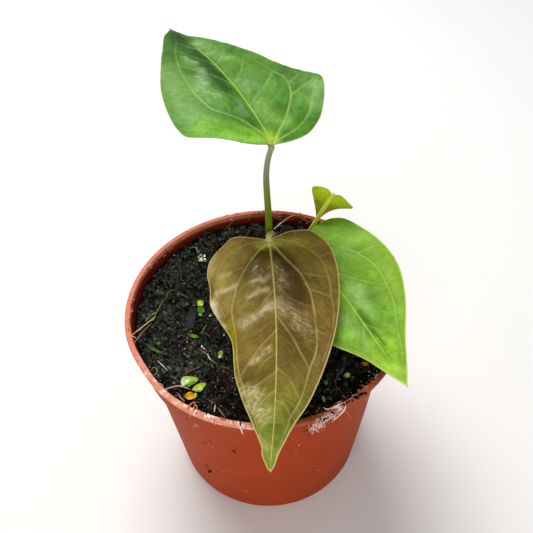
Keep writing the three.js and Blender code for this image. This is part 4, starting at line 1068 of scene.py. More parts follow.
def makeBlade(leaf):
    shape, skin = bladeShape, leaf["skin"]
    grid = shape["big" if leaf["length"] > shape["bigFrom"] else "small"]
    columns, scale = grid["columns"], grid["relief"]
    across, along = bladeGrid(leaf, grid["rows"], columns)
    size = across.shape
    flat = np.stack([across, along], -1).reshape(-1, 2)
    middle = bladePoints(leaf, across, along)
    step = 0.25
    sideways = bladePoints(leaf, across + step, along) - bladePoints(leaf, across - step, along)
    ahead = bladePoints(leaf, across, along + step) - bladePoints(leaf, across, along - step)
    normal = unitVectors(np.cross(sideways, ahead))
    # distance to the margin, from the outline of each half
    margin = np.full(len(flat), 99.0)
    for column in (0, size[1] - 1):
        line = np.stack([across[:, column], along[:, column]], -1)[::3]
        margin = np.minimum(margin, distanceTo(flat, line)[0])
    veins, toVein = veinField(leaf, flat)
    share = np.clip(flat[:, 1] / leaf["length"], 0, 1)
    fromMidrib = np.abs(flat[:, 0])
    ribWidth = skin["midribWidth"] * (1.1 - 0.7 * share)
    rib = np.where(flat[:, 1] > -0.3, np.exp(-(fromMidrib / (0.45 * ribWidth))**2), 0)
    toVein = np.minimum(toVein, fromMidrib)
    # relief: the blade swells between its veins, dips along them, puckers finely and ripples along its margin
    swell = shape["swell"] * (1 - np.exp(-(toVein / shape["swellReach"])**2))
    swell = swell * np.clip(margin / 3, 0, 1) * skin["pucker"]
    pucker = skin["pucker"] * noiseSum(flat, 0, *shape["puckers"]) * np.clip(toVein, 0.2, 1)
    ripple = shape["ripple"] * softNoise(flat, 8.0, 34) * np.exp(-margin / 4)
    relief = (swell + pucker + ripple - shape["veinDip"] * veins) * scale
    thickness = shape["thickness"] * scale**0.5 * (0.45 + 0.55 * np.clip(margin / 1.2, 0, 1))
    keel = (shape["ribKeel"] * rib + shape["veinKeel"] * veins) * scale
    ridge = shape["ribRidge"] * rib * scale
    relief, thickness, keel, ridge = (values.reshape(*size, 1) for values in (relief, thickness, keel, ridge))
    upper = middle + normal * (thickness / 2 + relief + ridge)
    lower = middle - normal * (thickness / 2 + keel - relief)
    colour, underColour, sheenPaint = bladeColours(leaf, flat, toVein)
    # the finest veins run outwards and ahead, so the noise that draws them is stretched that way
    streak = np.stack([0.45 * fromMidrib, flat[:, 1] - 0.7 * fromMidrib, 0.05 * flat[:, 0]], -1)
    atBase = np.exp(-(np.hypot(flat[:, 0], flat[:, 1]) / (0.11 * leaf["length"]))**2)
    rib = np.maximum(rib, veins * atBase)
    ribSeen = rib * (1 - 0.85 * np.clip((share - skin["ribEnd"]) / 0.12, 0, 1))
    # each section is one closed loop: over the top from margin to margin and back underneath in wider steps
    skip = shape["undersideStep"]

    def asLoops(values, under=None):
        # a value of each flat point in the order of the loops' points, the two end points last
        top = values.reshape(*size, -1)
        back = top if under is None else under.reshape(*size, -1)
        ring = np.concatenate([top, back[:, ::-skip]], axis=1)[1:-1].reshape(-1, top.shape[-1])
        return np.vstack([ring, top[0, columns][None], top[-1, columns][None]])

    points = asLoops(upper, lower)
    points[-2:] = middle[[0, -1], columns]
    count = size[0] - 2
    faces = ringFaces(count, len(points) // count, flip=True)
    level = np.zeros((len(flat), 1))
    attributes = {
        "tint": asLoops(colour, underColour),
        "vein": asLoops(veins)[:, 0],
        "rib": asLoops(ribSeen)[:, 0],
        "sheenPaint": asLoops(sheenPaint)[:, 0],
        "margin": asLoops(margin)[:, 0],
        "streak": asLoops(streak),
        "flat": asLoops(np.hstack([flat, level]), np.hstack([flat, level + shape["underOffset"]])),
    }
    piece = newPiece(f"blade_{leaf['name']}", points, faces, leafSkin(leaf), attributes)
    mergeSeams(piece)
    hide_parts(f"leaf_{leaf['name']}")


def bladeColours(leaf, flat, toVein):
    # the leaf's own colour, then each zone laid over it about its line: soft where its grain is 0, and broken up
    # into flecks and streaks where it is 1. Painted shade makes the blade a little darker close to its veins. The
    # painted sheen says how pale the finest veins and flecks of the skin are painted as a highlight: most in the
    # grainy zones.
    skin = leaf["skin"]
    unit = leaf["length"] / 100
    flecks = noiseSum(flat, 0.5, (0.6, 1.5, 51), (0.5, 0.7, 52), (0.3, 0.35, 53))
    wander = np.stack([softNoise(flat, 3.0, 54), softNoise(flat, 3.0, 55)], -1) * 0.8
    sheenPaint = np.full(len(flat), skin["sheenPaintBase"])
    # painted shade: the blade is painted up to 22 percent darker close to its veins
    mottle = noiseSum(flat, 1 - 0.22 * np.exp(-(toVein / 0.9)**2), (0.10, 1.1, 56), (0.06, 0.5, 57))
    colour = linear(skin["colour"]) * mottle[:, None]
    for tone, force, radius, grain, points in leaf["zones"]:
        away, _ = distanceTo(flat + wander, smoothPath(np.array(points, float) * unit, 4 * len(points)))
        broken = 1 - grain + grain * np.clip(flecks, 0, 1.2)
        reach = force * np.exp(-(away / (radius * unit))**2.3)
        amount = np.clip(reach * broken, 0, 1)[:, None]
        colour = colour * (1 - amount) + linear(tone) * amount
        sheenPaint = np.maximum(sheenPaint * (1 - amount[:, 0] * (grain < 0.4)), reach * np.clip((grain - 0.4) / 0.5, 0, 1))
    colour[:, 3] = 1
    return colour, 0.35 * colour + 0.65 * linear(skin["under"]), sheenPaint


def leafSkin(leaf):
    # living leaf under a waxy cuticle: soft gloss, paler veins, a fine net of veins 1.9 mm and 0.8 mm apart, and
    # puckers between them that break up the sheen. A painted highlight adds pale flecks where the painted sheen is
    # high.
    # Refraction 1.45 as for plant wax.
    skin = leaf["skin"]
    material, tree = newMaterial(f"waxy leaf skin, {leaf['name']}")
    tint = addNode(tree, "Attribute", {"attribute_name": "tint"})
    vein = addNode(tree, "Attribute", {"attribute_name": "vein"})
    rib = addNode(tree, "Attribute", {"attribute_name": "rib"})
    margin = addNode(tree, "Attribute", {"attribute_name": "margin"})
    flat = addNode(tree, "Attribute", {"attribute_name": "flat"}).outputs["Vector"]
    warp = addNode(tree, "TexNoise", {"Scale": 1 / 3.0, "Detail": 2}, {"Vector": flat})
    bent = addNode(tree, "VectorMath", {"operation": "MULTIPLY_ADD", 1: (1.6, 1.6, 0)},
                   {0: warp.outputs["Color"], 2: flat})
    coarse = addNode(tree, "TexVoronoi", {"feature": "DISTANCE_TO_EDGE", "Scale": 1 / 1.9}, {"Vector": bent})
    fine = addNode(tree, "TexVoronoi", {"feature": "DISTANCE_TO_EDGE", "Scale": 1 / 0.8}, {"Vector": bent})
    coarseLine = addNode(tree, "MapRange", {"From Max": 0.11, "To Min": 1.0, "To Max": 0.0}, {"Value": coarse})
    fineLine = addNode(tree, "MapRange", {"From Max": 0.16, "To Min": 0.5, "To Max": 0.0}, {"Value": fine})
    net = addNode(tree, "Math", {"operation": "MAXIMUM"}, {0: coarseLine, 1: fineLine})
    clouds = addNode(tree, "TexNoise", {"Scale": 1 / 7.0, "Detail": 4}, {"Vector": flat})
    patchy = addNode(tree, "MapRange", {"From Min": 0.35, "From Max": 0.65, "To Max": skin["netStrength"] * 2},
                     {"Value": clouds})
    netAmount = addNode(tree, "Math", {"operation": "MULTIPLY"}, {0: net, 1: patchy})
    mottle = addNode(tree, "MapRange", {"From Min": 0.3, "From Max": 0.7, "To Min": 0.78, "To Max": 1.22},
                     {"Value": clouds})
    streak = addNode(tree, "Attribute", {"attribute_name": "streak"})
    flecks = addNode(tree, "TexNoise", {"Scale": 1 / 1.15, "Detail": 3, "Roughness": 0.68, "Distortion": 0.4},
                     {"Vector": streak.outputs["Vector"]})
    uneven = addNode(tree, "MapRange", {"From Min": 0.3, "From Max": 0.7, "To Min": 1 - skin["streaks"],
                                        "To Max": 1 + skin["streaks"]}, {"Value": flecks})
    lightness = addNode(tree, "Math", {"operation": "MULTIPLY_ADD"}, {0: mottle, 1: uneven, 2: netAmount})
    netted = addNode(tree, "VectorMath", {"operation": "SCALE"}, {0: tint, "Scale": lightness})
    # painted highlight: pale sheen in crisp flecks and along the fine net, where the painted sheen attribute is high
    sheenPaint = addNode(tree, "Attribute", {"attribute_name": "sheenPaint"})
    crisp = addNode(tree, "MapRange", {"From Min": 0.48, "From Max": 0.58}, {"Value": flecks})
    lace = addNode(tree, "Math", {"operation": "MULTIPLY", 1: 0.4}, {0: net})
    laced = addNode(tree, "Math", {"operation": "MAXIMUM"}, {0: crisp, 1: lace})
    speckle = addNode(tree, "TexNoise", {"Scale": 1 / 0.85, "Detail": 3, "Roughness": 0.6}, {"Vector": flat})
    gaps = addNode(tree, "MapRange", {"From Min": 0.42, "From Max": 0.56, "To Min": 0.25, "To Max": 1.15},
                   {"Value": speckle})
    flecked = addNode(tree, "Math", {"operation": "MULTIPLY"}, {0: laced, 1: gaps})
    sheenAmount = addNode(tree, "Math", {"operation": "MULTIPLY", "use_clamp": True}, {0: flecked, 1: sheenPaint.outputs["Fac"]})
    sheened = addNode(tree, "Mix", {"data_type": "RGBA", 7: linear(skin["sheenPaint"])}, {0: sheenAmount, 6: netted})
    veined = addNode(tree, "Mix", {"data_type": "RGBA", 7: linear(skin["vein"])}, {0: vein.outputs["Fac"], 6: sheened})
    ribbed = addNode(tree, "Mix", {"data_type": "RGBA", 7: linear(skin["midrib"])},
                     {0: rib.outputs["Fac"], 6: veined})
    hem = addNode(tree, "MapRange", {"From Min": 0.12, "From Max": skin["hem"], "To Min": 0.9, "To Max": 0.0},
                  {"Value": margin.outputs["Fac"]})
    edged = addNode(tree, "Mix", {"data_type": "RGBA", 7: linear(skin["edge"])}, {0: hem, 6: ribbed})
    roughness = addNode(tree, "MapRange", {"To Min": skin["gloss"] - 0.05, "To Max": skin["gloss"] + 0.1},
                        {"Value": clouds})
    cells = addNode(tree, "MapRange", {"From Max": 0.35}, {"Value": coarse})
    grit = addNode(tree, "TexNoise", {"Scale": 1 / 0.35, "Detail": 2}, {"Vector": flat})
    height = addNode(tree, "Math", {"operation": "MULTIPLY_ADD", 1: 0.3}, {0: grit, 2: cells})
    bump = addNode(tree, "Bump", {"Strength": 0.7, "Distance": 0.12 * mm}, {"Height": height})
    finishMaterial(tree, {"IOR": 1.45, "Specular IOR Level": 0.12},
                   {"Base Color": edged, "Roughness": roughness, "Normal": bump})
    return material


def fleshySkin(name, roughness, shine=0.25):
    # green stalk flesh under a thin wax: long streaks 0.4 mm wide run up it, with small pale pores
    material, tree = newMaterial(name)
    tint = addNode(tree, "Attribute", {"attribute_name": "tint"})
    coordinates = addNode(tree, "TexCoord").outputs["Object"]
    stretched = addNode(tree, "Mapping", {"Scale": (1, 1, 0.12)}, {"Vector": coordinates})
    streaks = addNode(tree, "TexNoise", {"Scale": 1 / (0.4 * mm), "Detail": 3}, {"Vector": stretched})
    lightness = addNode(tree, "MapRange", {"From Min": 0.3, "From Max": 0.7, "To Min": 0.8, "To Max": 1.2},
                        {"Value": streaks})
    colour = addNode(tree, "VectorMath", {"operation": "SCALE"}, {0: tint, "Scale": lightness})
    bump = addNode(tree, "Bump", {"Strength": 0.3, "Distance": 0.05 * mm}, {"Height": streaks})
    finishMaterial(tree, {"IOR": 1.45, "Roughness": roughness, "Specular IOR Level": shine},
                   {"Base Color": colour, "Normal": bump})
    return material


stalkSkin = fleshySkin("waxy leaf stalk", 0.42)
stalkSteps, stalkSides = 170, 22


def makeStalk(leaf):
    # the stalk climbs to its knee, runs into the blade's notch and on as a keel under the midrib
    points, _, _, up = midribFrames(leaf)
    under = [points[k] - up[k] * drop for k, drop in leaf["stalkUnder"]]
    path = smoothPath([*leaf["stalk"], *under], stalkSteps)
    width = eased(leaf["stalkRadii"], len(path))
    width = width * noiseSum(path, 1, (0.025, 5.0, 41), (0.015, 1.6, 42))
    points, *faces = sweep(path, width, width, stalkSides, reference=(0.3, -1, 0.05))
    colours = toneRun(leaf["stalkColours"], len(path), stalkSides)
    piece = newPiece(f"stalk_{leaf['name']}", points, faces, stalkSkin, {"tint": colours})
    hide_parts(f"petiole_{leaf['name']}")


for leaf in leaves:
    makeBlade(leaf)
    makeStalk(leaf)
    print(f"leaf {leaf['name']} made")

# Crown: short stem with thick roots below and dry sheaths round the stalks
crownShape = {
    "centre": (3.9, 13.8),
    "radius": 4.5,
    "foot": 50.0,
    "top": 72.4,
    "profile": ((50, 52, 60, 68, 71, 72.4), (0.4, 0.6, 0.8, 1, 0.96, 0.7)),  # heights, shares of the radius
    "tone": "#6f7038",
    "roots": 5,
    "rootSpread": 3.1,
    "rootRadii": (0.9, 0.9, 0.5),
    "rootTone": "#c9b58a",
    "sheathFoot": 70.0,
    "sheathWidth": 2.6,
    "sheathTone": "#8a6a45",
    "sheaths": [(200, 9.5), (265, 8.0), (335, 7.0), (50, 6.5), (120, 7.5)],  # direction in degrees, height in mm
}


def makeCrown():
    shape = crownShape
    x, y = shape["centre"]
    radius = shape["radius"]
    upright = (0, 1, 0)
    levels = np.linspace(shape["foot"], shape["top"], 30)
    path = np.stack([x + 0 * levels, y + 0 * levels, levels], -1)
    outer = radius * np.interp(levels, *shape["profile"])
    parts = [(sweep(path, outer, outer, sides=28, reference=upright), linear(shape["tone"]))]
    for i in range(shape["roots"]):
        angle = (i + 0.3) / shape["roots"] * 2 * np.pi + 0.2 * np.arange(4)
        spread = shape["rootSpread"] * np.array([0.35, 0.9, 1, 0.8])
        down = shape["foot"] + 6 - np.arange(4) * (6 + i % 2)
        run = np.stack([x + spread * np.cos(angle), y + spread * np.sin(angle), down], -1)
        root = sweep(smoothPath(run, 24), shape["rootRadii"], shape["rootRadii"], reference=upright)
        parts.append((root, linear(shape["rootTone"])))
    for direction, height in shape["sheaths"]:
        # a thin dry sheath: a flat section that hugs the stem and leans out towards its tip
        angle = np.radians(direction)
        out = np.array([np.cos(angle), np.sin(angle), 0])
        rise = np.linspace(0, 1, 18)[:, None]
        run = np.array([x, y, shape["sheathFoot"]]) + out * (radius * (0.78 - 0.25 * rise) + 1.4 * rise**2)
        run = run + np.array([0, 0, height]) * rise
        width = shape["sheathWidth"] * np.sqrt(np.clip(1 - rise[:, 0]**1.6, 0, 1)) + 0.05
        sheath = sweep(run, width, 0.09 + 0 * width, sides=14, reference=-out, cup=0.5 * width)
        parts.append((sheath, linear(shape["sheathTone"])))
    piece = joinedPiece("crownStem", parts, fleshySkin("fleshy stem with dry sheaths", 0.55))
    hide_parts("crown")


makeCrown()
print("crown made")

# Small growth and litter. Places are pixels of the photograph, and each thing rests on what its line of sight
# meets: the soil, the lip or the pot's wall. A strand or blade is (width in mm, colours, lift in mm, pixels).
towardCamera = -viewAxes()[2]


def evened(path):
    # each inner point moves halfway to the middle of its neighbours, twice over
    for _ in range(2):
        path = np.vstack([path[:1], path[1:-1] / 2 + (path[:-2] + path[2:]) / 4, path[-1:]])
    return path


def leaning(path):
    # where a path drops behind what it touches, its points come forward along their own lines of sight, until none
    # lies deeper than its neighbours by more than 1.1 times the step between them
    eye = np.array(photoView["place"])
    away = np.linalg.norm(path - eye, axis=1)
    sight = (path - eye) / away[:, None]
    run = np.concatenate([[0], np.cumsum(np.linalg.norm(np.diff(sight, axis=0), axis=1))]) * away.mean()
    near = np.min(away[None] + 1.1 * np.abs(run[:, None] - run[None]), axis=1)
    return evened(eye + sight * near[:, None])


def onSurface(pixels, lift, steps):
    # a smooth path through pixels, laid on what they show
    return leaning(laid(smoothPath(pixels, steps), eased(np.atleast_1d(lift), steps + 1)))


def strand(width, tones, lift, pixels):
    # a fine round fibre, thinner towards both ends
    steps = 5 * (len(pixels) - 1)
    path = onSurface(pixels, lift, steps)
    radius = width / 2 * eased([0.55, 1, 1, 0.45], steps + 1)
    return sweep(path, radius, radius, sides=5, reference=towardCamera), toneRun(tones, steps + 1, 5)


def smallBlade(width, tones, lift, pixels, cup=0.3, blunt=0.6):
    # a thin crinkled blade along its midrib, widest in the middle: half width = width / 2 * sin(pi * share)^blunt
    steps = 12
    path = onSurface(pixels, lift, steps)
    share = np.linspace(0, 1, steps + 1)
    half = width / 2 * np.sin(np.pi * np.clip(share, 0.02, 0.98))**blunt * (1 + 0.25 * softNoise(path, 1.3, 70))
    points, quads, caps = sweep(path, half, np.full(steps + 1, 0.09), 12, towardCamera + (0, 0, 0.6), cup * half)
    points = points + towardCamera * 0.2 * softNoise(points, 0.9, 71)[:, None]
    tint = toneRun(tones, steps + 1, 12)
    tint[:, :3] *= 1 + 0.3 * softNoise(points, 0.8, 72)[:, None]
    return (points, quads, caps), tint


def grains(size, tone, lift, pixels, seed):
    # small lumps of one colour
    sizes = size * np.random.default_rng(seed).uniform(0.7, 1.3, len(pixels))
    return crumbShapes(laid(pixels, lift), sizes, seed), linear(tone)


def dryPlant():
    # dead roots, husks and twigs: matt cellulose with streaks 0.3 mm apart
    return fleshySkin("dry plant fibre", 0.75, 0.1)


def tenderLeaf():
    # thin young leaf flesh, soft and slightly glossy
    return fleshySkin("tender seedling leaf", 0.5, 0.18)


# the seedling cluster at the left front: two young leaves, a dark bud, a painted highlight strip and a painted fold
# shadow laid on the big leaf as thin blades, and withered yellow ones by the lip
sprig = {
    "place": (-22.0, -26.5),
    "stemRadius": 0.55,
    "foot": 66.4,
    "stemTone": "#c9dc8c",
    "blades": [
        (3.1, ["#c8dc90", "#e4f0c0", "#a8cc58", "#b8dc48"], (1.2, 1.9, 2.0), [(182, 386), (187, 382), (198, 379)]),
        (1.7, ["#b0cc40", "#e6f078", "#cce63c", "#9cc428"], (1.3, 2.2, 2.2), [(192, 390), (199, 387), (206, 384)]),
        (1.0, ["#7aa020", "#5f8c14", "#8cb430"], (2.4, 2.6), [(190, 385), (196, 381)]),
        # painted highlight: a pale cream strip laid on the big leaf
        (0.8, ["#dcebb4", "#f6fae4", "#e4f0c4"], (2.5, 2.8), [(184.5, 382.5), (190, 379.5)]),
        # painted shade: a dark green strip laid in the big leaf's fold
        (0.6, ["#4c7818", "#6c9824"], (2.6, 2.6), [(183, 386.5), (190, 384.5)]),
        (1.1, ["#d8e68c", "#c4dc50"], (1.4, 1.8), [(195, 391), (203, 389)]),
        (2.3, ["#f0b020", "#f8c030", "#e89410"], (0.7, 1.3), [(185, 397), (194, 395)]),
        (1.2, ["#b8c030", "#d8c030"], (0.8, 1.2), [(193, 399), (196, 393)]),
    ],
}


def makeSprig():
    shape = sprig
    x, y = shape["place"]
    levels = np.linspace(shape["foot"], float(soilTop(np.array(x), np.array(y))) + 1.2, 8)
    stem = np.stack([x + 0 * levels, y + 0 * levels, levels], -1)
    radius = np.full(8, shape["stemRadius"])
    parts = [(sweep(stem, radius, radius, sides=10, reference=(0, 1, 0)), linear(shape["stemTone"]))]
    parts += [smallBlade(*blade) for blade in shape["blades"]]
    piece = joinedPiece("seedlingSprig", parts, tenderLeaf())
    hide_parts("weed_seedling")


# other seedlings and green strands
greens = [
    (2.2, ["#b4d428", "#d6ee3c", "#8cc020"], (0.8, 1.5), [(198, 306), (203, 301)]),
    (2.1, ["#5c9c20", "#3f7c1c", "#4c8c20"], (0.6, 1.0), [(198, 308), (204, 312)]),
    (1.0, ["#90b850", "#6c9c30"], (0.6, 0.8), [(199, 313), (202, 316)]),
    (0.95, ["#2e3c1c", "#42582a", "#4c6430", "#2c3c1c"], 0.75, [(143, 342.5), (150, 347), (158, 351.5), (170, 356)]),
    (0.8, ["#50741c", "#3c5418"], 0.7, [(153.5, 337.5), (156.5, 340)]),
    (1.1, ["#2c3c18", "#4c7c20", "#6c9c2c", "#2c3c18"], 0.7, [(187, 334), (193, 336), (199, 337.5)]),
    (1.1, ["#9cc428", "#c4e458"], 0.8, [(218, 354), (223, 351.5)]),
    (0.9, ["#d8eca0", "#98c02c"], 0.8, [(219, 358), (222, 353)]),
    (1.7, ["#8cac38", "#c8dc90", "#84a83c"], 0.9, [(344.5, 374), (350, 376.5)]),
    (1.0, ["#34481c", "#3c5420"], 0.6, [(344, 383), (348, 385)]),
    (1.2, ["#4c5c30", "#748450", "#4c5c30"], 0.7, [(324, 381.5), (328, 384)]),
    (1.1, ["#98b83c", "#7c9c2c"], (0.7, 1.5), [(325, 402.5), (322.5, 396)]),
    (1.0, ["#3c4c24", "#56682c"], 0.6, [(309, 405), (314, 407)]),
    (1.4, ["#4c5c08", "#c87c14", "#a0600c"], 0.8, [(361, 363.5), (369, 364.5)]),
    (0.7, ["#333f22", "#3d4b26"], 0.6, [(166, 300), (168.5, 292), (176, 290)]),
    (0.6, ["#39442a", "#2f3a20"], 0.6, [(176, 290), (183, 295), (192, 299)]),
    (0.9, ["#6c6a38", "#444c20", "#7c7c48"], 0.9, [(145, 322), (150, 316), (157, 312)]),
    (0.9, ["#8c8454", "#5c6430"], 0.8, [(147, 323), (153, 319), (156, 315)]),
]

# dead roots, twigs, husks and hairs
fibres = {
    "onSoil": [
        (0.42, ["#d8a880", "#e8c8a0", "#d4b890"], 0.7, [(131.5, 335.5), (139, 329.5), (147, 323.5), (154, 318)]),
        (0.34, ["#a09068", "#7c7c50", "#6c6c44"], 0.8, [(154, 318), (158.5, 309), (162, 303), (165, 298.5)]),
        (0.3, ["#c8a080", "#a88468", "#8c7460"], 0.6, [(134, 343), (139, 337), (144, 330.5), (152, 323)]),
        (0.34, ["#f0c8a8", "#d8a888"], (0.5, 0.7), [(130.5, 335), (137.5, 339)]),
        (0.3, ["#a88c78", "#c0a88c"], 0.7, [(201, 334), (204, 329), (207, 324)]),
        (0.34, ["#a8b0a0", "#dce0d4", "#8c9484"], 0.7, [(157.5, 360.5), (162.5, 365.5), (168, 371)]),
        (0.26, ["#a8ac9c", "#7c8474"], 0.7, [(167, 366), (172, 370.5)]),
        (0.24, ["#8c9880", "#a4ac90"], 0.6, [(151.5, 371), (153, 367.5), (156.5, 368.5), (157, 373), (153.5, 375)]),
        (0.3, ["#8c7c60", "#c8b890"], 0.7, [(199, 349), (206, 353.5), (210, 358)]),
        (0.42, ["#d8dcc8", "#e4e4d4", "#a89c7c"], 0.9, [(208, 354), (209, 358), (213, 361.5)]),
        (0.34, ["#5c5048", "#7c7068", "#6c6058", "#484038"], 0.7, [(180, 378), (190, 371), (197, 368), (208, 361)]),
        (0.22, ["#64584c", "#54483c"], 0.6, [(168, 377), (175, 371), (180, 367)]),
        (0.4, ["#e8b890", "#f0d0a8", "#e0bc98"], (0.3, 0.9, 1.4),
         [(165, 389.5), (172, 387), (180, 386), (191, 389.5)]),
        (0.5, ["#a8604c", "#c07860"], (0.7, 0.5), [(178, 393), (180.5, 397.5), (184.5, 401)]),
        (0.26, ["#5c6450", "#7c8468"], 0.6, [(207, 398), (210, 401.5), (215, 402.5)]),
        (0.5, ["#d8a080", "#e8b898", "#a87458"], (0.9, 1.6), [(214.2, 412), (215.5, 404)]),
        (0.26, ["#a09c98", "#8c847c"], (0.9, 0.5), [(218, 407.5), (221, 412), (225, 417)]),
        (0.2, ["#7c7c74", "#8c8c80", "#74746c"], 0.6,
         [(345, 358), (343.5, 366), (341, 372), (337, 377), (335.5, 384), (339, 390), (344, 394)]),
        (0.18, ["#5c5850", "#6c685c"], 0.6, [(326, 371), (328, 378), (331.5, 384)]),
        (0.2, ["#3c4440", "#5c645c"], 0.6, [(358, 373), (365, 370.5), (372, 370)]),
        (0.2, ["#4c4440", "#6c5c54"], 0.6, [(332, 353), (337, 354.5)]),
        (0.24, ["#6c5850", "#8c7870"], 0.7, [(217, 366), (224, 367), (231, 370)]),
        (0.28, ["#d8d8c8", "#a8a890"], 0.6, [(196, 247), (197.5, 250.5), (200, 252)]),
        (0.2, ["#a0a088", "#888c74"], 0.6, [(190, 248), (194, 247), (197, 249)]),
        (0.2, ["#84745c", "#988868"], 0.6, [(246.5, 236), (248.5, 232), (251, 229.5)]),
        (0.18, ["#64503c", "#7c6850"], 0.5, [(217, 223), (221, 226.5), (225, 230)]),
        (0.2, ["#9c6c58", "#b88870"], 0.5, [(224, 230), (230, 224.5), (236, 217)]),
    ],
    "onLip": [
        (0.55, ["#f0e4c4", "#ead8b0", "#e8cca8", "#d89c84"], (0.5, 0.5, 0.6),
         [(274, 229), (280, 224), (287, 218.5), (295, 215)]),
        (0.3, ["#d09c80", "#c08068"], 0.3, [(272, 213.5), (276, 218.5), (284, 219.5)]),
        (0.24, ["#e8c0a8", "#c88870"], 0.3, [(273, 217), (279, 213.5), (285, 214)]),
        (0.24, ["#c87c64", "#b0604c"], 0.3, [(284, 221), (291, 219), (298, 216.5)]),
        (0.2, ["#d09078", "#e8b098"], 0.3, [(248, 220.5), (250.5, 214.5), (252, 213)]),
        (0.34, ["#d8b490", "#e4c8a4"], 0.3, [(229.5, 219.5), (234, 220.5)]),
        (0.2, ["#e0a890", "#f0c8b8"], 0.3, [(163, 244.5), (168.5, 250)]),
        (0.2, ["#e8b8a4", "#f4d4c4"], 0.3, [(147, 267.5), (153.5, 263)]),
        (0.18, ["#e8b8a4", "#e0a890"], 0.3, [(146, 264), (152, 266)]),
        (0.22, ["#e8c0b0", "#d89c88"], 0.3, [(141, 271), (146.5, 272.5)]),
        (0.2, ["#d89080", "#e8b0a0"], 0.3, [(184, 238.5), (187.5, 233.5)]),
        (0.22, ["#f0c0a8", "#e0a088"], 0.25, [(157, 383), (161, 384), (163.5, 387)]),
        (0.6, ["#2c1c18", "#140c0a", "#241814", "#3c2c28"], (0.5, 1.4, 0.6),
         [(240.5, 426), (240, 420), (242.5, 416.8), (246, 417), (249, 420)]),
        (0.5, ["#f8e8e4", "#f0d4cc"], 0.4, [(240, 424.5), (241, 429), (243, 434)]),
        (0.26, ["#f4c4b0", "#e89c84"], 0.3, [(194.5, 423), (199.5, 428)]),
        (0.22, ["#f4c4b0", "#e8a48c"], 0.3, [(193, 427), (198, 424.5)]),
        (0.22, ["#f0b8a0", "#e8a48c"], 0.3, [(214.5, 425), (217.5, 421.5)]),
        (0.22, ["#e8a890", "#d07c64"], 0.3, [(198, 411), (202, 415), (206, 420.5)]),
        (0.2, ["#e8a890", "#c86c54"], 0.3, [(232, 424), (236, 427.5)]),
        (0.5, ["#f8dcd8", "#f4ccc4", "#eab8ac"], (0.5, 0.7, 0.3),
         [(345.5, 406), (344.5, 410), (339, 415.5), (332.5, 421.5)]),
        (0.16, ["#e0906c", "#d8805c"], 0.3, [(345, 410.5), (351.5, 418)]),
        (0.42, ["#f4dcb8", "#f0d0a8"], 0.5, [(323.5, 407.5), (327.5, 409.5), (331, 407.5)]),
        (0.7, ["#f4d0b0", "#f8e4cc", "#e0a080"], 0.5, [(331, 409.5), (336, 406.5), (342, 403)]),
        (0.3, ["#d88c64", "#f0c8a8"], 0.4, [(334, 404.5), (341, 401)]),
        (0.34, ["#402418", "#c0907c", "#5c3828"], (0.4, 0.9), [(366, 394.5), (367, 398), (363.5, 402.5)]),
        (0.42, ["#d87828", "#e8923c"], 0.7, [(187.5, 408.5), (190, 404.5), (193.5, 402.5)]),
        (0.4, ["#e09048", "#d87830"], 0.6, [(191, 414), (193.5, 409), (195, 404.5)]),
        (0.34, ["#d8702c", "#e8a060"], 0.7, [(197.5, 402), (193.5, 402.5), (197, 406.5), (196.5, 410)]),
        (0.26, ["#f0b48c", "#d8805c"], 0.4, [(189.5, 417), (191.5, 413)]),
        (0.3, ["#c86424", "#e0883c"], 0.6, [(186.5, 405.5), (188.5, 410.5)]),
    ],
}

# lumps: (size in mm, colour, lift in mm, pixels)
lumps = [
    (0.62, "#dfe4cc", 0.5, [(199.5, 256), (202, 257.5), (204, 256), (202, 260), (204.5, 259)]),
    (0.36, "#c8ccb4", 0.5, [(198.5, 257.5), (201, 255), (205, 261), (200, 260)]),
    (0.5, "#dcd8cc", 0.6, [(202, 346.5), (210.5, 316)]),
    (0.36, "#c0c0b4", 0.5, [(204, 348.5), (185, 349), (162, 369.5), (172, 388), (187, 342), (224, 335)]),
    (0.6, "#7c7440", 0.6, [(213.5, 362.3), (215.5, 363.5)]),
    (0.5, "#5a3c2c", 0.3, [(281.5, 216), (284, 214.5), (268, 217), (262, 214), (291, 217), (301, 219.5), (306, 222)]),
    (0.38, "#22120c", 0.25, [(283, 215.5), (299, 219), (303, 221.5), (310, 223.5), (296, 218)]),
    (0.5, "#e0b498", 0.3, [(307, 223.5), (276, 214), (231, 219.5), (176, 242)]),
    (0.55, "#160d0a", 0.3, [(358, 396), (360.5, 394.5), (363, 393.5), (365.5, 393), (356, 397.5)]),
    (0.36, "#24120c", 0.3, [(352, 399.5), (349.5, 401), (347, 402.5), (344, 404), (340.5, 407), (337.5, 409.5),
                            (353, 401)]),
    (0.4, "#241511", 0.62, [(318, 425), (320, 423.5), (322, 421.5), (324, 420), (326, 418.5), (328, 417.5),
                            (321, 420), (316.5, 428), (333, 413), (336, 411), (330, 415.5), (315, 431.5)]),
    (0.34, "#2a1512", 0.2, [(205.5, 464), (206.5, 466), (209.5, 470.5), (211, 471.5), (208, 469), (206, 443.5),
                            (234, 451), (235, 453.5), (203, 443), (208.5, 472)]),
    (0.55, "#1c100e", 0.2, [(209.5, 471.5)]),
    (0.3, "#e0a090", 0.2, [(209, 446), (212.5, 447.5), (213.5, 445.5), (210, 442)]),
    (0.28, "#d08c74", 0.2, [(246, 491), (236, 438), (299, 445), (296, 453), (224, 471), (252, 474), (281, 486),
                            (318, 470), (333, 447), (187, 419), (178, 409)]),
    (0.28, "#f4ccbc", 0.15, [(134, 299.5), (133, 310), (140, 279), (226, 420.5), (231, 422), (222, 418), (208, 414)]),
    (0.3, "#f0d0b8", 0.25, [(377, 371.5), (374, 374), (371.5, 378), (369, 376), (373, 381), (366.5, 383),
                            (369.5, 371.5), (364, 386), (361, 381.5)]),
]
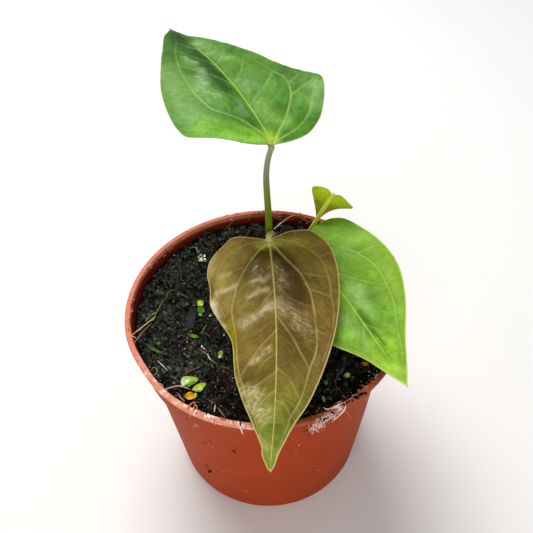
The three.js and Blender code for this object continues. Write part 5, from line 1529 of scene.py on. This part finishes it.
husk = (2.8, ["#2c2f2e", "#333635", "#1f2221"], 0.8, [(190.5, 328.5), (191, 319), (194.5, 309)])  # flat and blunt
hairyMat = {  # dried root hairs that cling to the wall below the lip
    "from": (311.5, 431), "to": (341, 407), "halfWidth": 5.0, "hairs": 190, "width": 0.17, "seed": 29,
    "tones": ["#f4ded6", "#eccabe", "#dca898", "#fbeee8", "#b87868", "#e8bcae"],
}
looseFibres = {
    "count": 420, "seed": 17, "length": (1.2, 4.6), "width": (0.09, 0.2),
    "tones": ["#3d4238", "#555a4c", "#6c6c5c", "#4a3c30", "#2c3024", "#7c7664", "#5c4a3c"],
}
rimDirt = {  # crumbs and short fibres strewn along stretches of the lip, drawn at random beside a line of pixels
    "seed": 37,
    "stretches": [  # from, to, scatter in pixels, crumbs, fibres
        ((262, 213), (312, 221.5), 1.6, 60, 26), ((226, 215), (262, 212), 1.0, 10, 8),
        ((300, 216), (313, 223), 1.6, 18, 6),
        ((304, 414), (345, 402), 1.3, 26, 22), ((345, 402), (378, 374), 1.6, 34, 24),
        ((196, 412), (236, 422), 1.2, 16, 10),
        ((128, 330), (134, 290), 0.8, 6, 4), ((140, 277), (180, 240), 0.8, 8, 8),
        ((330, 418), (308, 432), 2.4, 26, 0),
    ],
    "crumbTones": ["#2a150e", "#5c3020", "#8c5238", "#1c0f0a", "#e0b090"],
    "fibreTones": ["#f0c4a8", "#d8906c", "#f8dcc8", "#c87048", "#8c4830"],
}


def makeRimDirt():
    random = np.random.default_rng(rimDirt["seed"])
    parts = []
    for start, end, scatter, crumbs, threads in rimDirt["stretches"]:
        start, end = np.array(start, float), np.array(end, float)
        along = random.uniform(0, 1, (crumbs, 1))
        pixels = start + (end - start) * along + scatter * random.normal(size=(crumbs, 2))
        for k, tone in enumerate(rimDirt["crumbTones"]):
            own = pixels[k::len(rimDirt["crumbTones"])]
            if len(own):
                parts.append(grains(0.24, tone, 0.12, own, 80 + k))
        for _ in range(threads):
            middle = start + (end - start) * random.uniform() + scatter * random.normal(size=2)
            way = random.normal(size=2) * 1.1 + unitVectors(end - start)
            tone = rimDirt["fibreTones"][random.integers(len(rimDirt["fibreTones"]))]
            pixels = [middle - way, middle + 0.3, middle + way]
            parts.append(strand(random.uniform(0.12, 0.26), [tone, tone], 0.22, pixels))
    return parts


def makeHairyMat():
    shape = hairyMat
    random = np.random.default_rng(shape["seed"])
    start, end = np.array(shape["from"], float), np.array(shape["to"], float)
    reach = np.linalg.norm(end - start)
    run = (end - start) / reach
    beside = np.array([-run[1], run[0]])
    parts = []
    for _ in range(shape["hairs"]):
        t = random.uniform(0, 1)
        middle = start + run * t * reach + beside * random.normal() * shape["halfWidth"] * (0.55 - 0.2 * t)
        angle = random.normal() * 0.6
        way = (run * np.cos(angle) + beside * np.sin(angle)) * random.uniform(1.2, 3.8)
        bow = beside * random.normal() * 0.7
        tone = shape["tones"][random.integers(len(shape["tones"]))]
        pixels = [middle - way, middle + bow, middle + way]
        parts.append(strand(shape["width"] * random.uniform(0.8, 1.5), [tone, tone], random.uniform(0.1, 0.55),
                            pixels))
    return parts


def makeLooseFibres():
    # short curved fibres strewn over the soil: a middle, a direction and a bow, on top of the crumbs
    shape = looseFibres
    random = np.random.default_rng(shape["seed"])
    edge = wallRadius(soilShape["level"]) - potShape["wall"] - 2.2
    t = np.linspace(-0.5, 0.5, 6)[:, None]
    parts = []
    for _ in range(shape["count"]):
        away = edge * np.sqrt(random.uniform())
        turn, heading = random.uniform(0, 2 * np.pi, 2)
        middle = away * np.array([np.cos(turn), np.sin(turn)])
        ahead = np.array([np.cos(heading), np.sin(heading)])
        beside = np.array([-ahead[1], ahead[0]])
        reach = random.uniform(*shape["length"])
        plan = middle + ahead * t * reach + beside * (4 * t**2 - 1) * reach * 0.12 * random.normal()
        clear = np.min(np.hypot(*(plan - soilShape["crownCentre"]).T)) >= soilShape["crownRadius"] + 0.5
        if not clear or np.max(np.hypot(*plan.T)) > edge + 1.2:
            continue
        height = soilTop(plan[:, 0], plan[:, 1]) + 0.45 + 0.25 * random.normal() * t[:, 0]
        radius = random.uniform(*shape["width"]) / 2 * np.array([0.5, 1, 1, 1, 0.9, 0.4])
        tone = shape["tones"][random.integers(len(shape["tones"]))]
        path = np.column_stack([plan, height])
        parts.append((sweep(path, radius, radius, sides=4), linear(tone)))
    return parts


def makeLitter():
    soilBlades = [smallBlade(*blade) for blade in greens]
    joinedPiece("seedlingsAndMoss", soilBlades, tenderLeaf())
    threads = [strand(*thread) for thread in fibres["onSoil"] + fibres["onLip"]]
    threads += makeHairyMat() + makeRimDirt() + [smallBlade(*husk, cup=0.05, blunt=0.12)]
    joinedPiece("rootsAndTwigs", threads, dryPlant())
    joinedPiece("looseFibres", makeLooseFibres(), dryPlant())
    bits = [grains(*lump, 60 + i) for i, lump in enumerate(lumps)]
    joinedPiece("strayGrains", bits, peat())


makeSprig()
makeLitter()
print("seedlings and litter made")

# Floor, light and finish
studio = {
    "floor": "#f6f5f3",
    "floorSize": 3.0,
    "world": 0.30,
    "lamps": {  # place in metres, width in metres, power in watts
        "window": ((-0.14, 0.32, 0.70), 0.50, 5.0),
        "fill": ((-0.10, -0.80, 0.40), 0.80, 3.2),
    },
}


def makeStudio():
    half = studio["floorSize"] / 2 / mm
    corners = np.array([(-half, -half, 0), (half, -half, 0), (half, half, 0), (-half, half, 0)])
    material, tree = newMaterial("pale studio board")
    coordinates = addNode(tree, "TexCoord").outputs["Object"]
    fibre = addNode(tree, "TexNoise", {"Scale": 400.0}, {"Vector": coordinates})
    bump = addNode(tree, "Bump", {"Strength": 0.02, "Distance": 0.1 * mm}, {"Height": fibre})
    finishMaterial(tree, {"Base Color": linear(studio["floor"]), "Roughness": 0.9}, {"Normal": bump})
    mesh = bpy.data.meshes.new("floorBoard")
    mesh.from_pydata((corners * mm).tolist(), [], [(0, 1, 2, 3)])
    mesh.materials.append(material)
    floor = bpy.data.objects.new("floorBoard", mesh)
    bpy.context.scene.collection.objects.link(floor)
    for name, (spot, size, power) in studio["lamps"].items():
        data = bpy.data.lights.new(f"{name}Light", "AREA")
        data.shape = "DISK"
        data.size = size
        data.energy = power
        light = bpy.data.objects.new(f"{name}Light", data)
        bpy.context.scene.collection.objects.link(light)
        place = Vector(spot)
        aim = (Vector((0, 0, 0.08)) - place).to_track_quat("-Z", "Y")
        light.matrix_world = Matrix.Translation(place) @ aim.to_matrix().to_4x4()
    world = bpy.data.worlds.new("softRoom")
    world.use_nodes = True
    sky = world.node_tree.nodes["Background"].inputs
    sky["Color"].default_value = (1, 1, 1, 1)
    sky["Strength"].default_value = studio["world"]
    bpy.context.scene.world = world
    bpy.context.scene.view_settings.view_transform = "Standard"


makeStudio()
print("studio made")
